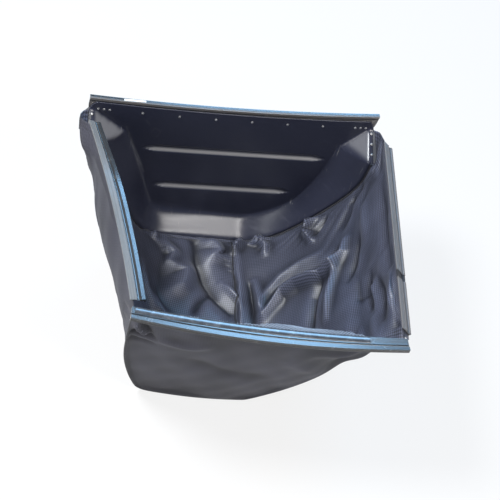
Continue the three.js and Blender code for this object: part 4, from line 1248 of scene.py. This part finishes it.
def front_grid():
    """Rows across the front, from its two top corners down to the foot, which follows the outline."""
    right, left = front_line[: SIDE_STEPS + 1], front_line[: -SIDE_STEPS - 2 : -1]
    top = np.linspace(FABRIC_TOP, SEAM_TOP, 3)[:-1]
    right = np.concatenate([np.stack([np.full(2, right[0, 0]), top], axis=1), right])
    left = np.concatenate([np.stack([np.full(2, left[0, 0]), top], axis=1), left])
    v = np.linspace(0.0, 1.0, FRONT_COLUMNS)[None, :]
    x = right[:, :1] * (1 - v) + left[:, :1] * v
    z = right[:, 1:] * (1 - v) + left[:, 1:] * v
    foot = front_line[-SIDE_STEPS : SIDE_STEPS - 1 : -1]
    x = np.concatenate([x, x[-1:]])
    z = np.concatenate([z, np.interp(x[-1:], foot[:, 0], foot[:, 1])])
    share = z / FABRIC_TOP
    bow = FRONT_BOW * np.sin(math.pi * v) * smooth_step(share, 0.5, 1.0)
    belly = 20.0 * np.sin(math.pi * v) * np.sin(math.pi * np.clip(1 - share, 0.0, 1.0))
    return np.stack([x, front_face(x, z) - belly - bow, z], axis=2)


front = folded(front_grid(), [], INSIDE_FRONT, keep_edges=0.02)
front = folded(front, FRONT_FOLDS, INSIDE_FRONT, keep_edges=0.02)
# The front's folds get painted shade and highlight too, turned round so that its outward crests are the pale ones.
front_cloth = fabric_piece("front_fabric_panel", front, 1.0 - fold_shade_and_highlight(front, INSIDE_FRONT), "front_fabric")

# %% [markdown]
# ## Piping
# A cord in a strip of tape is sewn into the two long seams and keeps their edges round. It follows the outline
# of the panel's flange and of the front, as a small round section carried along each.


# %% Piping along both seams
def round_section(radius, sides=12):
    turns = [2 * math.pi * i / sides for i in range(sides)]
    return [(radius * math.cos(turn), radius * math.sin(turn)) for turn in turns]


def seam_frames(line, outward, y, shift):
    up = np.array([0.0, 1.0, 0.0])
    frames = []
    for (x, z), (ox, oz), depth in zip(line, outward, y):
        height = max(z + oz * shift, 2.5)
        frames.append((placed((x + ox * shift, depth, height)), np.array([ox, 0.0, oz]), up))
    return frames


panel_seam = seam_frames(rim_line, rim_out, PANEL_FACE - drawn_depth(rim_line[:, 1]) - 2.8, LIP_WIDTH / 2)
front_seam = seam_frames(front_line, front_out, front_face(*front_line.T) + 2.0, 0.0)
for side, frames in (("panel", panel_seam), ("front", front_seam)):
    cord = sweep(f"{side}_seam_cord", round_section(2.4), frames, piping_finish, 80)
    carried(cord, "welt", f"{side}_seam_piping")

# %% [markdown]
# ## Repeated parts with Geometry Nodes
# Stitches, rivets and netting repeat along a line or over a pattern. A node tree places them by rule, with its
# sizes as named inputs. The helper below runs a tree on a carrier mesh and keeps the result as a plain mesh,
# because the export drops instances and live trees.


# %% Run a tree and keep its mesh
class NodeTree:
    """A geometry node tree with named inputs."""

    def __init__(self, name, inputs):
        self.tree = bpy.data.node_groups.new(name, "GeometryNodeTree")
        self.tree.is_modifier = True
        sockets = self.tree.interface
        sockets.new_socket("Geometry", in_out="INPUT", socket_type="NodeSocketGeometry")
        for label, kind, value in inputs:
            made = sockets.new_socket(label, in_out="INPUT", socket_type=kind)
            if value is not None:
                made.default_value = value
        sockets.new_socket("Geometry", in_out="OUTPUT", socket_type="NodeSocketGeometry")
        self.start = self.tree.nodes.new("NodeGroupInput").outputs
        self.end = self.tree.nodes.new("NodeGroupOutput").inputs[0]

    def node(self, kind, inputs=(), outlet=0, **settings):
        return add_node(self.tree, kind, inputs, outlet, settings)

    def finish(self, geometry):
        realized = self.node("GeometryNodeRealizeInstances", [geometry])
        painted = self.node("GeometryNodeSetMaterial", {"Geometry": realized, "Material": self.start["Finish"]})
        self.tree.links.new(painted, self.end)

    def grown(self, name, points, edges, values, attributes=None):
        """The plain mesh that the tree makes from a carrier of these points and edges."""
        mesh = bpy.data.meshes.new(name + "_carrier")
        mesh.from_pydata([tuple(p) for p in points], edges, [])
        for label, vectors in (attributes or {}).items():
            layer = mesh.attributes.new(label, "FLOAT_VECTOR", "POINT")
            layer.data.foreach_set("vector", np.asarray(vectors, dtype=np.float32).ravel())
        carrier = add_object(name + "_carrier", mesh)
        modifier = carrier.modifiers.new("tree", "NODES")
        modifier.node_group = self.tree
        for item in self.tree.interface.items_tree:
            if item.item_type == "SOCKET" and item.in_out == "INPUT" and item.name in values:
                modifier[item.identifier] = values[item.name]
        bpy.context.view_layer.update()
        made = bpy.data.meshes.new_from_object(evaluated(carrier))
        made.name = name
        carrier.modifiers.remove(modifier)
        bpy.data.objects.remove(carrier)
        return add_object(name, made)


# %% Tree for a row of stitches
def stitch_tree():
    tree = NodeTree(
        "stitches_along_a_line",
        [
            ("Pitch", "NodeSocketFloat", 0.0045),
            ("Stitch length", "NodeSocketFloat", 0.0032),
            ("Thread radius", "NodeSocketFloat", 0.00045),
            ("Finish", "NodeSocketMaterial", None),
        ],
    )
    line = tree.node("GeometryNodeMeshToCurve", [tree.start["Geometry"]])
    inputs = {"Curve": line, "Length": tree.start["Pitch"]}
    spaced = tree.node("GeometryNodeResampleCurve", inputs, mode="LENGTH")
    bead = tree.node("GeometryNodeMeshUVSphere", {"Segments": 6, "Rings": 4, "Radius": 1.0})
    heading = tree.node("GeometryNodeInputTangent")
    turn = tree.node("FunctionNodeAlignRotationToVector", {"Vector": heading}, axis="Z")
    half = tree.node("ShaderNodeMath", [tree.start["Stitch length"], 0.5], operation="MULTIPLY")
    radius = tree.start["Thread radius"]
    size = tree.node("ShaderNodeCombineXYZ", [radius, radius, half])
    placed_beads = tree.node(
        "GeometryNodeInstanceOnPoints", {"Points": spaced, "Instance": bead, "Rotation": turn, "Scale": size}
    )
    tree.finish(placed_beads)
    return tree


# %% Tree for domed rivets
def rivet_tree():
    tree = NodeTree(
        "rivets_on_points",
        [
            ("Head radius", "NodeSocketFloat", 0.0042),
            ("Head height", "NodeSocketFloat", 0.0018),
            ("Finish", "NodeSocketMaterial", None),
        ],
    )
    facing = tree.node("GeometryNodeInputNamedAttribute", {"Name": "facing"}, data_type="FLOAT_VECTOR")
    turn = tree.node("FunctionNodeAlignRotationToVector", {"Vector": facing}, axis="Z")
    flange = tree.node("GeometryNodeMeshCylinder", {"Vertices": 20, "Radius": 1.0, "Depth": 0.5})
    flange = tree.node("GeometryNodeTransform", {"Geometry": flange, "Translation": (0.0, 0.0, 0.25)})
    dome = tree.node("GeometryNodeMeshUVSphere", {"Segments": 20, "Rings": 10, "Radius": 0.9})
    dome_place = {"Geometry": dome, "Translation": (0.0, 0.0, 0.42), "Scale": (1, 1, 0.62)}
    dome = tree.node("GeometryNodeTransform", dome_place)
    stem = tree.node("GeometryNodeMeshCylinder", {"Vertices": 12, "Radius": 0.3, "Depth": 1.0})
    stem = tree.node("GeometryNodeTransform", {"Geometry": stem, "Translation": (0.0, 0.0, 0.52)})
    joined = tree.tree.nodes.new("GeometryNodeJoinGeometry")
    for part in (flange, dome, stem):
        tree.tree.links.new(part, joined.inputs[0])
    radius, height = tree.start["Head radius"], tree.start["Head height"]
    size = tree.node("ShaderNodeCombineXYZ", [radius, radius, height])
    heads = tree.node(
        "GeometryNodeInstanceOnPoints",
        {"Points": tree.start["Geometry"], "Instance": joined.outputs[0], "Rotation": turn, "Scale": size},
    )
    tree.finish(heads)
    return tree


# %% Tree for netting
def netting_tree():
    tree = NodeTree(
        "threads_along_edges",
        [("Thread radius", "NodeSocketFloat", 0.0006), ("Finish", "NodeSocketMaterial", None)],
    )
    lines = tree.node("GeometryNodeMeshToCurve", [tree.start["Geometry"]])
    ring = tree.node("GeometryNodeCurvePrimitiveCircle", {"Resolution": 5, "Radius": tree.start["Thread radius"]})
    threads = tree.node("GeometryNodeCurveToMesh", {"Curve": lines, "Profile Curve": ring, "Fill Caps": True})
    tree.finish(threads)
    return tree


stitches, rivets, netting = stitch_tree(), rivet_tree(), netting_tree()
print("trees:", [group.name for group in bpy.data.node_groups])

# %% [markdown]
# ## Rivets
# Blind rivets hold the panel to its rail: a long row with three close together at each end, and three more down
# each slanted end of the flange, where the webbing tabs are. Each rivet shows a head inside and a tail behind.


# %% Places of the rivets
def slanted_end(sign, share, x):
    """A point of the flange's slanted end, from the flared corner down to the drawn wall's mouth end."""
    top = np.array([sign * x, PANEL_FACE, SLANT_TOP])
    end = np.array([sign * x, PANEL_FACE - DRAWN_AT_MOUTH, RIM_TOP])
    return top + (end - top) * share


slant_rise = SLANT_TOP - RIM_TOP
slant_normal = np.array([0.0, -slant_rise, DRAWN_AT_MOUTH])
slant_normal /= np.linalg.norm(slant_normal)


def rivet_places():
    into_bag = np.array([0.0, -1.0, 0.0])
    height = BAG_HEIGHT - 22.0
    row = [(-2.0 + (i - 2.5) * 88.0, f"rivet_row_{i + 1}") for i in range(6)]
    for side, sign in (("left", -1), ("right", 1)):
        row += [(sign * (327.0 - 13.5 * i), f"rivet_{side}_corner_{i + 1}") for i in range(3)]
    places = [
        (np.array([x, PANEL_FACE - top_bow(x) * 0.98, height - 4.0 * top_bow(x) / TOP_BOW]), into_bag, 5.4, name)
        for x, name in row
    ]
    for side, sign in (("left", -1), ("right", 1)):
        for i, share in enumerate((0.16, 0.46, 0.76)):
            at = slanted_end(sign, share, 341.5) + (0.0, 1.3, 0.0) + slant_normal * 1.3
            places.append((at, slant_normal, 5.4, f"rivet_{side}_lip_{i + 1}"))
    return places


# %% Heads inside, tails behind
spots = rivet_places()
heads = rivets.grown(
    "rivet_heads",
    [placed(at + facing * 0.2) for at, facing, _, _ in spots],
    [],
    {"Head radius": 0.0032, "Head height": 0.0019, "Finish": rivet_finish},
    {"facing": [facing for _, facing, _, _ in spots]},
)
tails = rivets.grown(
    "rivet_tails",
    [placed(at - facing * grip) for at, facing, grip, _ in spots],
    [],
    {"Head radius": 0.0026, "Head height": 0.0015, "Finish": rivet_finish},
    {"facing": [-facing for _, facing, _, _ in spots]},
)
for piece in (heads, tails):
    shade(piece.data, 40)
carried(heads, "rivet", *[name for _, _, _, name in spots])
carried(tails, "rivet")

# %% [markdown]
# ## Seams
# The two strips meet in a flat-felled seam across the floor: a slim raised band with a row of stitches on each
# side. More rows hold the fabric to the rails, the flange and the front. Each row is a line on the finished
# cloth, lifted just clear of it, and the stitch tree does the rest.


# %% The floor seam's band
def on_cloth(grid, row, lift):
    """A line along one row of a grid, lifted towards the inside of the bag."""
    return (placed(grid) + inward_normals(placed(grid), inside_point) * lift * MILLIMETRE)[row]


def line_frames(points):
    frames = []
    for i, point in enumerate(points):
        along = points[min(i + 1, len(points) - 1)] - points[max(i - 1, 0)]
        along /= np.linalg.norm(along)
        across = np.cross(along, (0.0, 0.0, 1.0))
        across /= np.linalg.norm(across)
        frames.append((point, across, np.cross(across, along)))
    return frames


felled = [(-2.6, -0.25), (2.6, -0.25), (2.4, 0.3), (1.0, 0.6), (0.0, 0.1), (-1.0, 0.6), (-2.4, 0.3)]
floor_line = on_cloth(strips, SEAM_ROW, 0.8)[4:-4]
carried(sweep("floor_seam_band", felled, line_frames(floor_line), piping_finish, 30), "welt")

# %% Fabric edge that the right rail grips
gripped = [(4.0, -5.0), (33.0, -5.0), (33.0, -6.4), (4.0, -6.4)]
past_near = RIGHT_NEAR + (RIGHT_NEAR - RIGHT_FAR) * 0.022
right_edge = rail_frames(RIGHT_FAR, past_near, (1, 0, 0), roll=RIGHT_ROLL, steps=30)
gripped_edge = sweep("right_gripped_edge", gripped, right_edge, inner_fabric, 40)
# Half: neither painted shade nor painted highlight.
paint(gripped_edge, "fold_shade_and_highlight", np.full(len(gripped_edge.data.vertices), 0.5))
carried(gripped_edge, "fabric")
bunched = [(1.0, -4.8), (1.0, -0.8), (16.0, -0.8), (20.0, -3.0), (27.0, -3.0)]
bunched += [(29.5, 0.4), (33.2, 0.4), (33.2, -7.0), (30.0, -4.8)]
carried(sweep("cloth_between_right_rails", bunched, right_rail_piece(378.4, 397.6), piping_finish, 40), "welt")

# %% Rows of stitches
rows_of_stitches = [on_cloth(strips, SEAM_ROW + side, 1.2)[4:-4] for side in (-2, 2)]
inside_columns = strips.transpose(1, 0, 2)
rows_of_stitches += [on_cloth(inside_columns, column, 1.0)[16:-16] for column in (4, -5)]
rows_of_stitches += [on_cloth(strips, row, -1.0) for row in (4, -5)]


def front_share(x):
    """Where along the front rail an x lies, from 0 at its left end to 1."""
    return (x - FRONT_LEFT[0]) / (FRONT_RIGHT[0] - FRONT_LEFT[0])


hem_shares = front_share(np.linspace(-300.0, 212.0, 120))


def hem_line(across, height):
    line = []
    for share in hem_shares:
        point, side, up = frame_at(front_frames, share)
        line.append(point + side * across * MILLIMETRE + up * height * MILLIMETRE)
    return np.array(line)


rows_of_stitches += [hem_line(3.2, 1.7), hem_line(13.6, 1.7)]
points, edges = [], []
for line in rows_of_stitches:
    edges += [(len(points) + i, len(points) + i + 1) for i in range(len(line) - 1)]
    points += list(line)
sewing = stitches.grown(
    "seam_stitches",
    points,
    edges,
    {"Pitch": 0.0052, "Stitch length": 0.0037, "Thread radius": 0.00048, "Finish": thread_finish},
)
shade(sewing.data)
carried(sewing, "welt")

# %% [markdown]
# ## Hem and netting
# The front's top edge is folded over its rail's flange as a hem. A flap of open netting reaches inwards from it
# and droops, widest right of the middle. The netting is a diamond lattice of threads, and the third tree gives
# them their round section.

# %% Hem over the front rail
hem_section = [(0.4, 0.4), (16.6, 0.4), (16.6, 1.1), (16.0, 1.5), (8.5, 1.35), (1.0, 1.5), (0.4, 1.1)]
hem = sweep("front_rail_hem", hem_section, [frame_at(front_frames, s) for s in hem_shares], tape_finish, 40)
carried(hem, "fabric", "front_hem")


# %% Netting inside the hem
def netting_lattice(cell=3.9, span=(-190.0, 205.0), reach=40.0):
    points, edges, known = [], [], {}
    columns = int((span[1] - span[0]) / cell)
    for i in range(columns + 1):
        x = span[0] + i * cell
        point, across, up = frame_at(front_frames, front_share(x))
        peak = math.exp(-(((x - 75.0) / 95.0) ** 2))
        length = 7.0 + (reach - 7.0) * peak + 1.5 * math.sin(i * 0.43)
        droop = math.radians(20.0 + 8.0 * math.sin(i * 0.11))
        for j in range(int(length / cell) + 1):
            if (i + j) % 2:
                continue
            out = j * cell - 3.0
            fall = FLANGE + CLEARANCE + max(out, 0.0) * math.sin(droop) + 0.008 * max(out, 0.0) ** 2
            known[i, j] = len(points)
            points.append(point - (across * out * math.cos(droop) + up * fall) * MILLIMETRE)
    for (i, j), start in known.items():
        edges += [(start, known[i + 1, k]) for k in (j - 1, j + 1) if (i + 1, k) in known]
    return points, edges


net_points, net_edges = netting_lattice()
net = netting.grown("netting_inside_hem", net_points, net_edges, {"Thread radius": 0.00052, "Finish": netting_glint_finish})
carried(net, "netting", "netting_band")


# %% [markdown]
# ## Corner tabs, label and ribbon
# Webbing tabs are riveted under the flange's slanted ends, and the left one has an eyelet. Each is an outline,
# filled and made thick. A blank label lies on the panel's rail, and a bit of ribbon is caught in the front's left
# seam. Their solids have the right outline, so a copy of each is welded and its edges are rounded.


# %% Copies of small solids, and webbing tabs
def dressed_copy(name, node, finish, round_off, slot, move=None):
    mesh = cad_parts[node].data.copy()
    if move is not None:
        mesh.transform(move)
    mesh.name = name
    mesh.materials.clear()
    mesh.materials.append(finish)
    piece = add_object(name, mesh)
    weld = piece.modifiers.new("Weld", "WELD")
    weld.merge_threshold = 0.00005
    bevel = piece.modifiers.new("Bevel", "BEVEL")
    bevel.width = round_off * MILLIMETRE
    bevel.segments = 2
    bevel.limit_method = "ANGLE"
    bevel.angle_limit = math.radians(40)
    made = bpy.data.meshes.new_from_object(evaluated(piece))
    piece.modifiers.clear()
    piece.data = made
    made.set_sharp_from_angle(angle=math.radians(35))
    return carried(piece, slot, node)


def webbing_tab(name, node, outline, hole=None, thickness=2.0, lift=0.0):
    """A flat tab in the plane of the flange's slanted end. Its outline is given as x and y."""
    slope = slant_rise / DRAWN_AT_MOUTH

    def on_slant(x, y):
        return placed((x, y, SLANT_TOP + lift - (PANEL_FACE - y) * slope))

    mesh = bmesh.new()
    loops = [outline]
    if hole:
        turns = [2 * math.pi * i / 14 for i in range(14)]
        loops.append([(hole[0] + hole[2] * math.cos(t), hole[1] + hole[2] * math.sin(t)) for t in turns])
    for loop in loops:
        corners = [mesh.verts.new(on_slant(x, y)) for x, y in loop]
        for a, b in zip(corners, corners[1:] + corners[:1]):
            mesh.edges.new((a, b))
    bmesh.ops.triangle_fill(mesh, use_beauty=True, edges=mesh.edges[:], normal=slant_normal)
    bmesh.ops.recalc_face_normals(mesh, faces=mesh.faces[:])
    bmesh.ops.solidify(mesh, geom=mesh.faces[:], thickness=thickness * MILLIMETRE)
    bmesh.ops.recalc_face_normals(mesh, faces=mesh.faces[:])
    data = bpy.data.meshes.new(name)
    mesh.to_mesh(data)
    mesh.free()
    data.materials.append(webbing_finish)
    return carried(add_object(name, data), "webbing", node)


left_tab = [(-341, 327), (-353, 318), (-367, 307), (-370, 296), (-371, 274), (-366, 271), (-351, 288), (-343, 297)]
right_tab = [(344, 309), (353, 308), (359, 296), (360, 280), (356, 260), (350, 240), (345, 240)]
webbing_tab("left_webbing_tab", "left_corner_tab", left_tab, hole=(-356, 298, 4.2))
webbing_tab("right_webbing_tab", "right_corner_tab", right_tab, lift=4.0)
label_points = [vertex.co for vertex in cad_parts["blank_label"].data.vertices]
label_middle = (Vector(map(min, zip(*label_points))) + Vector(map(max, zip(*label_points)))) / 2
onto_rail = (
    Matrix.Translation(Vector(placed((-246.0, 321.4, 445.25))))
    @ Matrix.Rotation(0.0173, 4, "Y")
    @ Matrix.Rotation(-0.024, 4, "Z")
    @ Matrix.Translation(-label_middle)
)
dressed_copy("blank_label_strip", "blank_label", label_finish, 0.15, "label", onto_rail)
dressed_copy("ribbon_tab", "blank_pull_tab", ribbon_finish, 0.4, "pull_tab")
